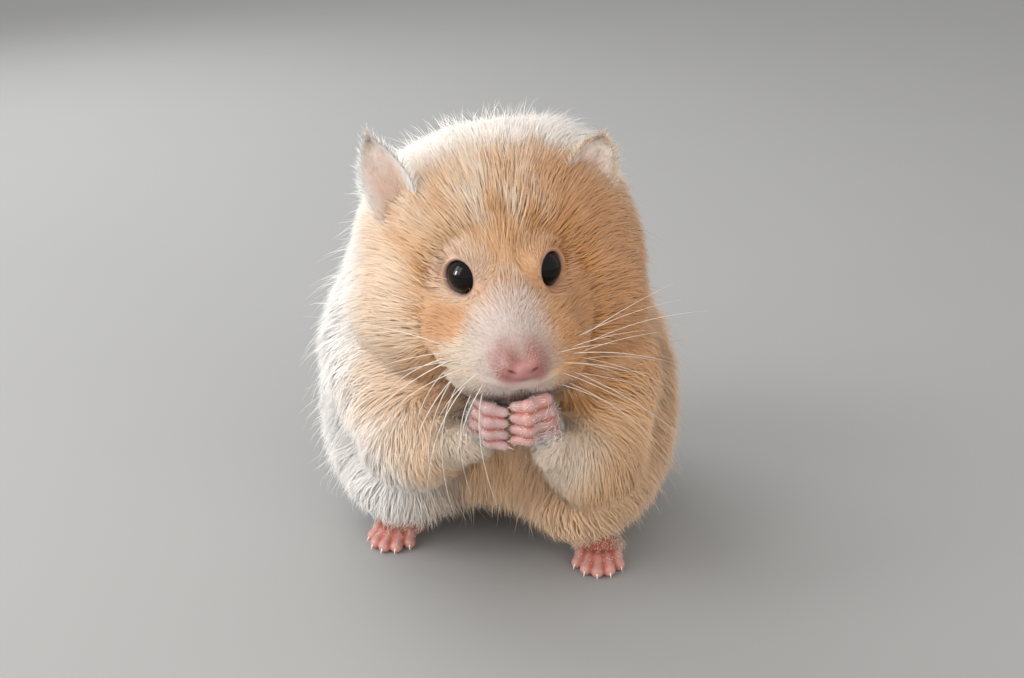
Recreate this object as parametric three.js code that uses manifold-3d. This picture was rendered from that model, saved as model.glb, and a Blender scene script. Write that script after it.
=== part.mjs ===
// A Syrian hamster of the long-haired kind, sitting up with its forepaws at its mouth.
// Millimetres, +Z up. The animal faces -Y, its left is +X. Surfaces are the outside of the coat,
// out to the tips of the hair, and every flesh piece is parted from the next by a thin cut.
import * as THREE from 'three';
import { mergeVertices } from 'three/addons/utils/BufferGeometryUtils.js';
import Module from 'manifold-3d';

const wasm = await Module();
wasm.setup();
const { Manifold, Mesh } = wasm;

// ---------------------------------------------------------------- driving dimensions
const GAP = 0.45;             // left between two pieces
const FACET_ERROR = 0.2;      // how far a facet may lie from the finer surface it simplifies
const BODY_DETAIL = 5;        // how finely the two globes of rays are split
const HEAD_DETAIL = 5;
const RAY_STEP = 1;
const FAR = 200;              // larger than the animal

const MIDLINE_X = -4.2;       // the trunk leans to its right of the soles' middle
const SOLE_MIDDLE = -0.9;
const SOLE_SPREAD = 19.2;     // half the distance between the two hind feet
const HEAD_AT = [4.0, -26.4, 61.7];   // midway between the eyes
const HEAD_YAW = 21.8;        // degrees to the left
const HEAD_PITCH = 2.1;
const HEAD_ROLL = -2.8;

const EYE_RADIUS = 3.3;
const EYE_AT = [6.4, 1.5, -0.8];      // in the head's frame, mirrored for the right eye
const NOSE_AT = [0, -15.2, -11.4];
const EAR_THICKNESS = 1.1;
const TOE_RADIUS = 1.25;
const FINGER_RADIUS = 1.1;

const COLOURS = {
  apricot: 0xc99468,
  cream: 0xe0cdb4,
  white_fur: 0xded8ce,
  ear_skin: 0xd0b3a2,
  pink_skin: 0xc98f8c,
  nose_skin: 0xb5756f,
  black_eye: 0x0b0909,
};
const ROUGHNESS = { fur: 0.9, skin: 0.55, eye: 0.08 };

const SIDES = { left: 1, right: -1 };

// ---------------------------------------------------------------- distance fields
const v3 = (a) => new THREE.Vector3(...a);

function ellipsoid(centre, radii, degrees = [0, 0, 0]) {
  const turn = new THREE.Matrix4().makeRotationFromEuler(
    new THREE.Euler(...degrees.map(THREE.MathUtils.degToRad), 'ZYX'));
  const back = turn.clone().invert();
  const c = v3(centre);
  const p = new THREE.Vector3();
  return (x, y, z) => {
    p.set(x, y, z).sub(c).applyMatrix4(back);
    const k0 = Math.hypot(p.x / radii[0], p.y / radii[1], p.z / radii[2]);
    const k1 = Math.hypot(p.x / radii[0] ** 2, p.y / radii[1] ** 2, p.z / radii[2] ** 2);
    return k1 === 0 ? -Math.min(...radii) : k0 * (k0 - 1) / k1;
  };
}

function limb(from, to, radiusFrom, radiusTo) {
  const a = v3(from);
  const along = v3(to).sub(a);
  const length2 = along.lengthSq();
  const p = new THREE.Vector3();
  return (x, y, z) => {
    p.set(x, y, z).sub(a);
    const t = THREE.MathUtils.clamp(p.dot(along) / length2, 0, 1);
    return p.addScaledVector(along, -t).length() - THREE.MathUtils.lerp(radiusFrom, radiusTo, t);
  };
}

function blend(softness, ...fields) {
  return (x, y, z) => {
    let d = fields[0](x, y, z);
    for (let i = 1; i < fields.length; i += 1) {
      const e = fields[i](x, y, z);
      const h = Math.max(softness - Math.abs(d - e), 0) / softness;
      d = Math.min(d, e) - h * h * softness / 4;
    }
    return d;
  };
}

// a blend whose softness is itself a field
const varyingBlend = (softness, a, b) => (x, y, z) => blend(softness(x, y, z), a, b)(x, y, z);

const nearest = (...fields) => (x, y, z) => Math.min(...fields.map((f) => f(x, y, z)));

// a field given in the head's own frame, moved to where the head is
const headTurn = new THREE.Matrix4().makeRotationFromEuler(new THREE.Euler(
  ...[HEAD_PITCH, HEAD_ROLL, HEAD_YAW].map(THREE.MathUtils.degToRad), 'ZXY'));
const headPlace = new THREE.Matrix4().makeTranslation(...HEAD_AT).multiply(headTurn);
const headBack = headPlace.clone().invert();

function onHead(field) {
  const p = new THREE.Vector3();
  return (x, y, z) => {
    p.set(x, y, z).applyMatrix4(headBack);
    return field(p.x, p.y, p.z);
  };
}

const headPoint = (at) => v3(at).applyMatrix4(headPlace).toArray();
const mirrored = (at, side) => [side * at[0], at[1], at[2]];

// ---------------------------------------------------------------- from a field to a solid
function solidOf(positions, index) {
  let geometry = new THREE.BufferGeometry();
  geometry.setAttribute('position', new THREE.Float32BufferAttribute(positions, 3));
  geometry.setIndex(index);
  geometry = mergeVertices(geometry, 1e-4);
  return new Manifold(new Mesh({
    numProp: 3,
    vertProperties: new Float32Array(geometry.attributes.position.array),
    triVerts: new Uint32Array(geometry.index.array),
  }));
}

// a globe of rays from a centre, each run out to where it first leaves the form
function surface(field, centre, detail) {
  const globe = new THREE.IcosahedronGeometry(1, detail);
  for (const name of ['normal', 'uv']) globe.deleteAttribute(name);
  const { attributes: { position }, index } = mergeVertices(globe, 1e-4);
  const ray = new THREE.Vector3();
  for (let n = 0; n < position.count; n += 1) {
    ray.fromBufferAttribute(position, n).normalize();
    const at = (t) => field(centre[0] + ray.x * t, centre[1] + ray.y * t, centre[2] + ray.z * t);
    let inner = 0;
    let outer = RAY_STEP;
    while (at(outer) < 0) {
      inner = outer;
      outer += RAY_STEP;
    }
    for (let halving = 0; halving < 12; halving += 1) {
      const middle = (inner + outer) / 2;
      if (at(middle) < 0) inner = middle;
      else outer = middle;
    }
    ray.multiplyScalar(outer).add(v3(centre));
    position.setXYZ(n, ray.x, ray.y, ray.z);
  }
  return solidOf(Array.from(position.array), Array.from(index.array));
}

function solidFrom(geometry) {
  for (const name of ['normal', 'uv']) geometry.deleteAttribute(name);
  return solidOf(Array.from(geometry.attributes.position.array), Array.from(geometry.index.array));
}

// a digit or claw: a tapering bar with round ends
function bar(from, to, radiusFrom, radiusTo, { sides = 6, rows = 2, rootRows = rows } = {}) {
  const a = v3(from);
  const along = v3(to).sub(a);
  const length = along.length();
  const profile = [];
  for (let n = 0; n <= rootRows; n += 1) {
    const turn = -Math.PI / 2 + (n / rootRows) * (Math.PI / 2);
    profile.push(new THREE.Vector2(radiusFrom * Math.cos(turn), radiusFrom * Math.sin(turn)));
  }
  for (let n = 0; n <= rows; n += 1) {
    const turn = (n / rows) * (Math.PI / 2);
    profile.push(new THREE.Vector2(radiusTo * Math.cos(turn), length + radiusTo * Math.sin(turn)));
  }
  profile[0].x = 0;
  profile[profile.length - 1].x = 0;
  const geometry = new THREE.LatheGeometry(profile, sides);
  const turn = new THREE.Quaternion().setFromUnitVectors(new THREE.Vector3(0, 1, 0), along.normalize());
  geometry.applyQuaternion(turn).translate(...from);
  return solidFrom(geometry);
}

function pad(centre, radii, degrees = [0, 0, 0], columns = 10, rows = 7) {
  const geometry = new THREE.SphereGeometry(1, columns, rows).scale(...radii);
  geometry.applyMatrix4(new THREE.Matrix4().makeRotationFromEuler(
    new THREE.Euler(...degrees.map(THREE.MathUtils.degToRad), 'ZYX')));
  return solidFrom(geometry.translate(...centre));
}

const joined = (...solids) => solids.reduce((a, b) => a.add(b));

function largest(solid) {
  return solid.decompose().reduce((a, b) => (a.volume() > b.volume() ? a : b));
}

// keeps what is above the floor, with a flat face on it
const aboveFloor = solidFrom(new THREE.BoxGeometry(FAR, FAR, FAR).translate(0, 0, FAR / 2));

// ---------------------------------------------------------------- the animal's forms
const x0 = MIDLINE_X;

const trunkField = blend(12,
  ellipsoid([x0 - 0.7, 7.5, 34.3], [32.1, 34, 25.9]),
  ellipsoid([x0 - 14.3, 8, 44.8], [17.2, 26, 30.3], [-8, 0, 0]),
  ellipsoid([x0 + 6.2, 10, 57], [17.2, 20, 22.8]),
  ellipsoid([x0, 22, 18.5], [27, 21, 20.6]),
  ellipsoid([x0 + 3, -13, 33], [17, 12, 19]));

const skull = blend(6,
  ellipsoid([0, 18, 1], [20.2, 18.5, 15.4]),
  limb([0, 7, -5.4], [0, -9.3, -11.8], 10.6, 6.3),
  ellipsoid([11.6, 9.6, -10.6], [11.2, 12, 11]),
  ellipsoid([-11.6, 9.6, -10.6], [11.2, 12, 11]));
const underEyes = nearest(
  ellipsoid([7.8, -1.5, -11.0], [6.2, 8.5, 6.4]),
  ellipsoid([-7.8, -1.5, -11.0], [6.2, 8.5, 6.4]));
const whiskerPads = nearest(
  ellipsoid([5.0, -7.6, -13.6], [6.4, 6.8, 5.9]),
  ellipsoid([-5.0, -7.6, -13.6], [6.4, 6.8, 5.9]));
const faceField = onHead(blend(4, blend(4, skull, underEyes), whiskerPads));
const jawField = onHead(ellipsoid([0, -5.4, -17.6], [5.6, 7.2, 4.2], [12, 0, 0]));

function onHeadSolid(solid) {
  return solid.transform(headPlace.elements);
}

const noseRegion = (grow) => onHeadSolid(pad(NOSE_AT, [2.9 + grow, 2.2 + grow, 2.1 + grow], [-20, 0, 0]));
const jawRegion = (grow) => onHeadSolid(
  pad([0, -5.4, -17.8], [6.2 + grow, 7.8 + grow, 4.9 + grow], [12, 0, 0]));
const headRegion = (grow) => onHeadSolid(joined(
  pad([0, 0, -1.5], [27 + grow, 22 + grow, 21 + grow], [0, 0, 0], 12, 8),
  bar([0, 0, -4.5], [0, -10.2, -11.2], 10.8 + grow, 9.4 + grow, { sides: 10, rows: 3 }),
  ...Object.values(SIDES).map((side) => pad([side * 11.6, 7, -9], [12.8 + grow, 14 + grow, 13 + grow])),
  pad([0, -5.4, -17.8], [6.2 + grow, 7.8 + grow, 4.9 + grow], [12, 0, 0])));
const neckField = blend(8,
  ellipsoid([-1, -3, 57], [24.5, 18, 21], [0, 0, 8]),
  ellipsoid([1.5, -15, 43], [17, 12, 12]));

const neckRegion = (grow) => onHeadSolid(pad([0, 7, -2], [31 + grow, 26 + grow, 27 + grow]));

const shoulder = (side) => [x0 + 1.5 + side * 18, -10, 40];
const elbow = (side) => [3 + side * 16.5, -26.5, 28.5];
const wrist = (side) => [7 + side * 7.2, -33.5, 33.2];
const upperArmField = (side) => limb(shoulder(side), elbow(side), 11.6, 8.2);
const forearmField = (side) => limb(elbow(side), wrist(side), 7.4, 4.6);
const LIMB_SIDES = { sides: 9, rows: 2 };
const upperArmRegion = (side) => (grow) => bar(shoulder(side), elbow(side), 12.4 + grow, 9 + grow, LIMB_SIDES);
const forearmRegion = (side) => (grow) => bar(elbow(side), wrist(side), 8.2 + grow, 5.4 + grow, LIMB_SIDES);

const hip = (side) => [x0 + side * 21.5, 2, 22];
const knee = (side) => [x0 + 2.4 + side * 17.4, -12.5, 15.9];
const thighField = (side) => blend(8,
  ellipsoid(hip(side), [13.8, 20, 21.1]),
  ellipsoid(knee(side), [10.4, 12.5, 10.4]));

const thighRegion = (side) => (grow) => joined(
  pad(hip(side), [19 + grow, 20 + grow, 17.5 + grow], [0, 0, 0], 12, 8),
  pad(knee(side), Array(3).fill(13.0 + grow)));

const tailRegion = (grow) => bar([x0, 36, 8.4], [x0, 44.5, 4.6], 3.6 + grow, 1.9 + grow);

const bodyField = blend(8, trunkField, neckField,
  thighField(1), thighField(-1), upperArmField(1), upperArmField(-1));
const armsField = blend(6, bodyField, forearmField(1), forearmField(-1));
// the coat fills the fold between head and body at the back, and leaves it open under the chin
const fold = onHead((x, y, z) => 4
  + 9 * THREE.MathUtils.smoothstep(y, -6, 4) * THREE.MathUtils.smoothstep(z, -20, -11));
const wholeField = varyingBlend(fold, armsField, blend(2.5, faceField, jawField));

const DIGIT_SIDES = { sides: 5, rows: 1, rootRows: 1 };

// five toes fanned about the foot's own direction, on a sole that runs back under the body
const TOE_FAN = [-26, -12, 0, 12, 26];
const TOE_REACH = [3.6, 5.2, 5.8, 5.3, 3.7];
const TOE_ROOT = 5.2;
const CLAW_REACH = 1.7;

function footSolid(side, grow = 0) {
  const at = [SOLE_MIDDLE + side * SOLE_SPREAD, -8.6, 0];
  const heading = side * 8;
  const point = (angle, reach, height) => {
    const turn = THREE.MathUtils.degToRad(angle + heading);
    return [at[0] + reach * Math.sin(turn), at[1] - reach * Math.cos(turn), height];
  };
  const digits = TOE_FAN.map((angle, n) => {
    const tip = TOE_ROOT + TOE_REACH[n];
    return joined(
      bar(point(angle * 0.9, TOE_ROOT, 2.0), point(angle, tip, 1.0), TOE_RADIUS + 0.25 + grow, TOE_RADIUS + grow,
        DIGIT_SIDES),
      bar(point(angle, tip, 1.3), point(angle * 1.04, tip + CLAW_REACH, 0.5), 0.72 + grow, 0.4 + grow,
        { sides: 4, rows: 1 }));
  });
  return joined(
    bar(point(0, -8, 2.4), point(0, TOE_ROOT - 1, 2.0), 3.2 + grow, 3.2 + grow, { sides: 8 }),
    pad(point(0, TOE_ROOT - 1.2, 1.7), [5.0 + grow, 3.4 + grow, 2.5 + grow], [0, 0, heading], 8, 5),
    ...digits);
}

// a loose fist: four fingers one above another, their tips together under the mouth
const FIST_X = 7.4;
const FIST_RAISED = 1.2;      // how far the left fist is held above the right
const FINGER_RISE = 2.05;
const FINGER_BULGE = [0.3, 1.1, 1.2, 0.6];

function pawSolid(side, grow = 0) {
  const r = FINGER_RADIUS + grow;
  const low = 35.2 + (side > 0 ? FIST_RAISED : 0);
  const digits = FINGER_BULGE.map((bulge, n) => {
    const z = low + n * FINGER_RISE;
    const bend = [FIST_X + side * 3.5, -38.2 - bulge, z];
    return joined(
      bar([FIST_X + side * 5.6, -35.5 - bulge / 2, z], bend, r + 0.15, r, DIGIT_SIDES),
      bar(bend, [FIST_X + side * 1.0, -38.4, z - 0.4], r, r - 0.3, DIGIT_SIDES));
  });
  return joined(
    pad([FIST_X + side * 4.6, -34.8, low + 3], [3.0 + grow, 2.9 + grow, 4.4 + grow], [0, 0, 0], 8, 6),
    bar(wrist(side), [FIST_X + side * 4.9, -34.5, low + 1.5], 2.9 + grow, 2.7 + grow),
    ...digits);
}

// ---------------------------------------------------------------- ears
// A cupped leaf: rows from the root to the tip, columns from one edge to the other. The outer
// edge folds forward, so that the opening looks forward and out.
const EAR = {
  right: {
    root: [-15.6, 12.6, 5.6], lean: [-0.33, 0.02, 1], face: [-0.3, -0.95, 0.1],
    tall: 17.2, wide: 5.2, point: 0.75,
  },
  left: {
    root: [15.1, 13.2, 5.4], lean: [0.42, 0.12, 1], face: [0.34, -0.92, 0.1],
    tall: 13.4, wide: 5.1, point: 0.45,
  },
};
const EAR_ROWS = 8;
const EAR_COLUMNS = 6;

function earSolid(name) {
  const side = SIDES[name];
  const form = EAR[name];
  const rise = v3(form.lean).normalize();
  const face = v3(form.face);
  face.addScaledVector(rise, -face.dot(rise)).normalize();
  const across = new THREE.Vector3().crossVectors(rise, face).multiplyScalar(side);
  const point = (row, column, back) => {
    const u = row / EAR_ROWS;
    const v = 2 * column / EAR_COLUMNS - 1;
    const width = form.wide * Math.sin(Math.PI * (0.2 + 0.8 * u) ** 0.92) ** form.point * (1 - 0.1 * u);
    const edge = Math.max(Math.abs(v), 2 * u - 1);
    const thick = EAR_THICKNESS * (1 - 0.45 * edge ** 4);
    const p = v3(form.root);
    p.addScaledVector(rise, form.tall * u);
    p.addScaledVector(across, width * v);
    p.addScaledVector(face, 2.9 * v * v * (1 - 0.55 * u) - 2.2 + 1.0 * u);
    p.addScaledVector(face, (back ? -0.5 : 0.5) * thick);
    return p.applyMatrix4(headPlace);
  };
  const positions = [];
  const index = [];
  const stride = EAR_COLUMNS + 1;
  const layer = stride * (EAR_ROWS + 1);
  for (const back of [false, true]) {
    for (let row = 0; row <= EAR_ROWS; row += 1) {
      for (let column = 0; column <= EAR_COLUMNS; column += 1) {
        positions.push(...point(Math.min(row, EAR_ROWS - 0.12), column, back).toArray());
      }
    }
  }
  const quad = (a, b, c, d) => index.push(a, b, c, a, c, d);
  for (let row = 0; row < EAR_ROWS; row += 1) {
    for (let column = 0; column < EAR_COLUMNS; column += 1) {
      const a = row * stride + column;
      quad(a, a + 1, a + stride + 1, a + stride);
      quad(layer + a, layer + a + stride, layer + a + stride + 1, layer + a + 1);
    }
  }
  for (let column = 0; column < EAR_COLUMNS; column += 1) {
    const top = EAR_ROWS * stride + column;
    quad(column, column + layer, column + 1 + layer, column + 1);
    quad(top, top + 1, top + 1 + layer, top + layer);
  }
  for (let row = 0; row < EAR_ROWS; row += 1) {
    const a = row * stride;
    const b = a + EAR_COLUMNS;
    quad(a, a + stride, a + stride + layer, a + layer);
    quad(b, b + layer, b + stride + layer, b + stride);
  }
  if (side < 0) index.reverse();
  return solidOf(positions, index);
}

// ---------------------------------------------------------------- parting the animal
const pieces = {};

// takes what a region holds of `solid` as a piece, and returns the rest with the gap left open
function part(solid, name, region) {
  pieces[name] = largest(solid.intersect(region(0)));
  return largest(solid.subtract(region(GAP)));
}

// the same form is seen from inside the head for the face, and from inside the trunk for the rest
const headMiddle = headPoint([0, 5, -4]);
let head = surface(wholeField, headMiddle, HEAD_DETAIL);
const coatAndGap = surface((x, y, z) => wholeField(x, y, z) - GAP, headMiddle, HEAD_DETAIL);
let body = surface(wholeField, [x0, 2, 36], BODY_DETAIL).intersect(aboveFloor);

head = largest(head.intersect(headRegion(0)));
body = largest(body.subtract(headRegion(GAP)));

for (const [name, side] of Object.entries(SIDES)) {
  const eyeAt = headPoint(mirrored(EYE_AT, side));
  pieces[`eye_${name}`] = pad(eyeAt, Array(3).fill(EYE_RADIUS), [0, 0, 0], 12, 7);
  head = head.subtract(pad(eyeAt, Array(3).fill(EYE_RADIUS + GAP), [0, 0, 0], 12, 7));
}
pieces.nose = noseRegion(0);
head = part(head.subtract(noseRegion(GAP)), 'lower_jaw', jawRegion);

for (const [name, side] of Object.entries(SIDES)) {
  pieces[`forepaw_${name}`] = pawSolid(side);
  const cleared = pawSolid(side, GAP);
  head = largest(head.subtract(cleared));
  pieces.lower_jaw = largest(pieces.lower_jaw.subtract(cleared));
  body = body.subtract(cleared);

  pieces[`ear_${name}`] = largest(earSolid(name).subtract(coatAndGap));
}
pieces.head = head;
body = largest(body);

for (const [name, side] of Object.entries(SIDES)) {
  pieces[`hind_foot_${name}`] = footSolid(side).intersect(aboveFloor);
  body = body.subtract(footSolid(side, GAP));
  body = part(body, `forearm_${name}`, forearmRegion(side));
  body = part(body, `upper_arm_${name}`, upperArmRegion(side));
  body = part(body, `thigh_${name}`, thighRegion(side));
}
body = part(body, 'neck', neckRegion);
pieces.tail = tailRegion(0);
pieces.trunk = largest(body.subtract(tailRegion(GAP)));

// ---------------------------------------------------------------- the scene graph
const FINISHES = {
  head: ['apricot', 'fur'],
  lower_jaw: ['cream', 'fur'],
  neck: ['apricot', 'fur'],
  trunk: ['cream', 'fur'],
  tail: ['pink_skin', 'skin'],
  nose: ['nose_skin', 'skin'],
  ear: ['ear_skin', 'skin'],
  eye: ['black_eye', 'eye'],
  upper_arm: ['apricot', 'fur'],
  forearm: ['cream', 'fur'],
  forepaw: ['pink_skin', 'skin'],
  thigh: ['white_fur', 'fur'],
  hind_foot: ['pink_skin', 'skin'],
};

const group = new THREE.Group();
for (const [name, solid] of Object.entries(pieces)) {
  const kind = name.replace(/_(left|right)$/, '');
  const { vertProperties, triVerts } = largest(solid.simplify(FACET_ERROR)).getMesh();
  const geometry = new THREE.BufferGeometry();
  geometry.setAttribute('position', new THREE.Float32BufferAttribute(vertProperties, 3));
  geometry.setIndex(Array.from(triVerts));
  geometry.computeVertexNormals();
  const [colour, finish] = FINISHES[kind];
  const mesh = new THREE.Mesh(geometry, new THREE.MeshStandardMaterial({
    color: COLOURS[colour], roughness: ROUGHNESS[finish], metalness: 0,
  }));
  mesh.name = name;
  group.add(mesh);
}

// the origin is the middle of the footprint of the whole animal's box, on the floor
const box = new THREE.Box3().setFromObject(group);
group.position.set(-(box.min.x + box.max.x) / 2, -(box.min.y + box.max.y) / 2, -box.min.z);
group.updateMatrixWorld(true);

export default group;
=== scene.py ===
import math

import bpy
import numpy as np
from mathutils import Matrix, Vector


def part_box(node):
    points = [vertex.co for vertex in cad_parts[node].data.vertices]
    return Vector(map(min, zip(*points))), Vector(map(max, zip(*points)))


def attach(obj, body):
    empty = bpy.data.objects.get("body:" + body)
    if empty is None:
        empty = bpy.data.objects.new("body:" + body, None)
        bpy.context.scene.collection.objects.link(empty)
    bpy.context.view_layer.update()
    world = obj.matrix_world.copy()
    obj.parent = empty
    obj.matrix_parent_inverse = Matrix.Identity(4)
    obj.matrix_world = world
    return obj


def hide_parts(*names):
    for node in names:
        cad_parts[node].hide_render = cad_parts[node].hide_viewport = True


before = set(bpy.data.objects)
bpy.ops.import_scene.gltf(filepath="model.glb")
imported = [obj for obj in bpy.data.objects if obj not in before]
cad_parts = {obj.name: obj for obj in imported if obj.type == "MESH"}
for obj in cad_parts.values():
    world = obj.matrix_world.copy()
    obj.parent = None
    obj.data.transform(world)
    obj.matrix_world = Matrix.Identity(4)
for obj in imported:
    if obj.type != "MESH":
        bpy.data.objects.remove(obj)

import openvdb
from mathutils import Matrix, Vector
from mathutils.kdtree import KDTree

bl_info = {
    "name": "Long-haired golden hamster",
    "version": (1, 0, 0),
    "blender": (4, 5, 0),
    "location": "3D View > Sidebar > Hamster",
    "description": "Skin, coat, eyes, claws and whiskers of a sitting hamster, round its solids",
    "category": "Object",
}

# ------------------------------------------------------------------ the animal's frame
# Everything is modelled in millimetres in the animal's own build frame: it faces -Y, its left
# is +X, the floor is z = 0. SHIFT takes that frame to the solids', and comes from the eyes.
SIDES = {"left": 1, "right": -1}
MIDLINE_X = -4.2
HEAD_AT = np.array([4.0, -26.4, 61.7])
HEAD_YAW, HEAD_PITCH, HEAD_ROLL = 21.8, 2.1, -2.8
EYE_AT = np.array([6.4, 1.5, -0.8])
EYE_RADIUS = 3.3
NOSE_AT = np.array([0.0, -15.2, -11.4])
MM = 0.001


def turned(axis, degrees):
    return np.array(Matrix.Rotation(math.radians(degrees), 3, axis))


HEAD_TURN = turned("Z", HEAD_YAW) @ turned("X", HEAD_PITCH) @ turned("Y", HEAD_ROLL)


def box_middle(node):
    """Middle of a node's box, in millimetres."""
    low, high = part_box(node)
    return np.array((low + high) / 2) / MM


def on_head(h):
    """Places in the head's own frame, in the animal's."""
    return HEAD_AT + np.asarray(h, float) @ HEAD_TURN.T


def head_frame(p):
    return (p - HEAD_AT) @ HEAD_TURN


SHIFT = (box_middle("eye_left") + box_middle("eye_right")) / 2 - on_head([0, *EYE_AT[1:]])
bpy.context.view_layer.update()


def mirrored(point, side):
    return np.array([side * point[0], point[1], point[2]])


# ------------------------------------------------------------------ distance fields
def length_of(q):
    return np.sqrt(np.einsum("...i,...i->...", q, q))


def unit(q):
    return q / np.maximum(length_of(q), 1e-9)[..., None]


def ellipsoid(p, centre, radii, turn=None):
    """Near enough the distance to an ellipsoid, negative inside it."""
    q = p - np.asarray(centre, float)
    if turn is not None:
        q = q @ turn
    radii = np.asarray(radii, float)
    k0 = length_of(q / radii)
    k1 = length_of(q / radii ** 2)
    return k0 * (k0 - 1) / np.maximum(k1, 1e-6)


def limb(p, start, end, radius_start, radius_end):
    """Distance to a round limb whose radius changes evenly from start to end."""
    start = np.asarray(start, float)
    along = np.asarray(end, float) - start
    t = np.clip((p - start) @ along / (along @ along), 0, 1)
    radius = radius_start + (radius_end - radius_start) * t
    return length_of(p - start - t[..., None] * along) - radius


def blend(softness, *fields):
    """Joins forms, with a fillet about as wide as softness where they meet."""
    d = fields[0]
    for e in fields[1:]:
        h = np.maximum(softness - np.abs(d - e), 0) / softness
        d = np.minimum(d, e) - h * h * softness / 4
    return d


def carve(softness, d, cutter):
    """Takes a cutter out of a form and rounds the edge that it leaves."""
    return -blend(softness, -d, cutter)


def smoothstep(low, high, value):
    t = np.clip((value - low) / (high - low), 0, 1)
    return t * t * (3 - 2 * t)


class Ripple:
    """A smooth pattern in space: a few sine waves in fixed random directions."""

    def __init__(self, seed, wavelength, waves=7):
        rng = np.random.default_rng(seed)
        directions = unit(rng.normal(size=(waves, 3)))
        self.waves = directions * (2 * math.pi / wavelength) * rng.uniform(0.6, 1.5, (waves, 1))
        self.phases = rng.uniform(0, 2 * math.pi, waves)

    def __call__(self, p):
        return np.sin(p @ self.waves.T + self.phases).mean(-1) * math.sqrt(len(self.phases) / 2)


# ------------------------------------------------------------------ the animal's forms
# Each form is given by the radii of the coat's outside, as in the solids, and by the coat's
# depth there. bare = 0 gives the outside of the coat and bare = 1 the skin.
def flesh(p, bare, centre, radii, depth, pitch=0.0, yaw=0.0):
    turn = turned("Z", yaw) @ turned("X", pitch)
    return ellipsoid(p, centre, np.asarray(radii, float) - bare * depth, turn)


# centre, radii of the coat's outside, the coat's depth, and any pitch and yaw in degrees
TRUNK = {
    "barrel": ([-4.9, 7.5, 34.3], [32.1, 34, 25.9], 6.0),
    "right_flank": ([-18.5, 8, 44.8], [17.2, 26, 30.3], 5.5, -8),
    "withers": ([2.0, 10, 57], [17.2, 20, 22.8], 5.5),
    "rump": ([-4.2, 22, 18.5], [27, 21, 20.6], 6.0),
    "breast": ([-1.2, -13, 33], [17, 12, 19], 5.5),
}
NECK = {
    "scruff": ([-1, -3, 57], [24.5, 18, 21], 4.5, 0, 8),
    "throat": ([1.5, -15, 43], [17, 12, 12], 4.5),
}
SKULL = ([0, 18, 1], [20.2, 18.5, 15.4], 2.2)
CHEEK = ([11.6, 9.6, -10.6], [11.2, 12, 11], 2.8)
UNDER_EYE = ([7.8, -1.5, -11.0], [6.2, 8.5, 6.4], 1.2)
WHISKER_PAD = ([5.0, -7.6, -13.6], [6.4, 6.8, 5.9], 0.9)
JAW = ([0, -5.4, -17.6], [5.6, 7.2, 4.2], 1.0, 12)
THIGH, KNEE = ([13.8, 20, 21.1], 5.0), ([10.4, 12.5, 10.4], 4.0)


def both(h, bare, form):
    """A form of the face and its mirror image."""
    centre, *rest = form
    return [flesh(h, bare, mirrored(centre, side), *rest) for side in SIDES.values()]


def shoulder(side):
    return np.array([MIDLINE_X + 1.5 + side * 18, -10, 40])


def elbow(side):
    return np.array([3 + side * 16.5, -26.5, 28.5])


def wrist(side):
    return np.array([7 + side * 7.2, -33.5, 33.2])


def from_wrists(p):
    return np.minimum(length_of(p - wrist(1)), length_of(p - wrist(-1)))


def hip(side):
    return np.array([MIDLINE_X + side * 21.5, 2, 22])


def knee(side):
    return np.array([MIDLINE_X + 2.4 + side * 17.4, -12.5, 15.9])


def trunk_field(p, bare):
    return blend(12, *[flesh(p, bare, *form) for form in TRUNK.values()])


def neck_field(p, bare):
    return blend(8, *[flesh(p, bare, *form) for form in NECK.values()])


def face_field(h, bare):
    snout = limb(h, [0, 7, -5.4], [0, -9.3, -11.8], 10.6 - 1.2 * bare, 6.3 - 0.8 * bare)
    skull = blend(6, flesh(h, bare, *SKULL), snout, *both(h, bare, CHEEK))
    fill = np.minimum(*both(h, bare, UNDER_EYE))
    pads = np.minimum(*both(h, bare, WHISKER_PAD))
    return blend(4, blend(4, skull, fill), pads)


def jaw_field(h, bare):
    return flesh(h, bare, *JAW)


def arm_field(p, side, bare):
    return limb(p, shoulder(side), elbow(side), 11.6 - 3.2 * bare, 8.2 - 2.8 * bare)


def forearm_field(p, side, bare):
    return limb(p, elbow(side), wrist(side), 7.4 - 2.4 * bare, 4.6 - 1.7 * bare)


def thigh_field(p, side, bare):
    return blend(8, flesh(p, bare, hip(side), *THIGH), flesh(p, bare, knee(side), *KNEE))


def tail_field(p, bare):
    return limb(p, [MIDLINE_X, 36, 8.4], [MIDLINE_X, 44.5, 4.6], 3.6 - 1.2 * bare, 1.9 - 0.8 * bare)


def whole_field(p, bare):
    h = head_frame(p)
    body = blend(9.5, trunk_field(p, bare), neck_field(p, bare),
                 thigh_field(p, 1, bare), thigh_field(p, -1, bare),
                 arm_field(p, 1, bare), arm_field(p, -1, bare))
    body = blend(6, body, forearm_field(p, 1, bare), forearm_field(p, -1, bare))
    face = blend(2.5, face_field(h, bare), jaw_field(h, bare))
    # the coat fills the fold between head and body at the back, and leaves it open under the chin
    fold = 4 + 9 * smoothstep(-6, 4, h[..., 1]) * smoothstep(-20, -11, h[..., 2])
    return blend(fold, blend(2, body, tail_field(p, bare)), face)


# ------------------------------------------------------------------ the bare, fine parts
def eye_centre(side):
    return mirrored(EYE_AT, side)


def eye_normal(side):
    return unit(np.array([side * math.sin(math.radians(48)), -math.cos(math.radians(48)), 0.06]))


EYE_OPENING = 2.85
LID_HEIGHT, LID_SOFTNESS = 0.4, 2.6
LID_EDGE, LID_RIM, LID_BARE = (-0.05, 0.32), (0.3, 0.9), (0.1, 0.35)
EYE_PLAY = 0.05


def about_eye(h, side):
    """Distance from an eye's centre, distance along its axis, and distance from that axis."""
    out = h - eye_centre(side)
    reach = length_of(out)
    along = out @ eye_normal(side)
    return reach, along, np.sqrt(np.maximum(reach ** 2 - along ** 2, 0))


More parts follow.
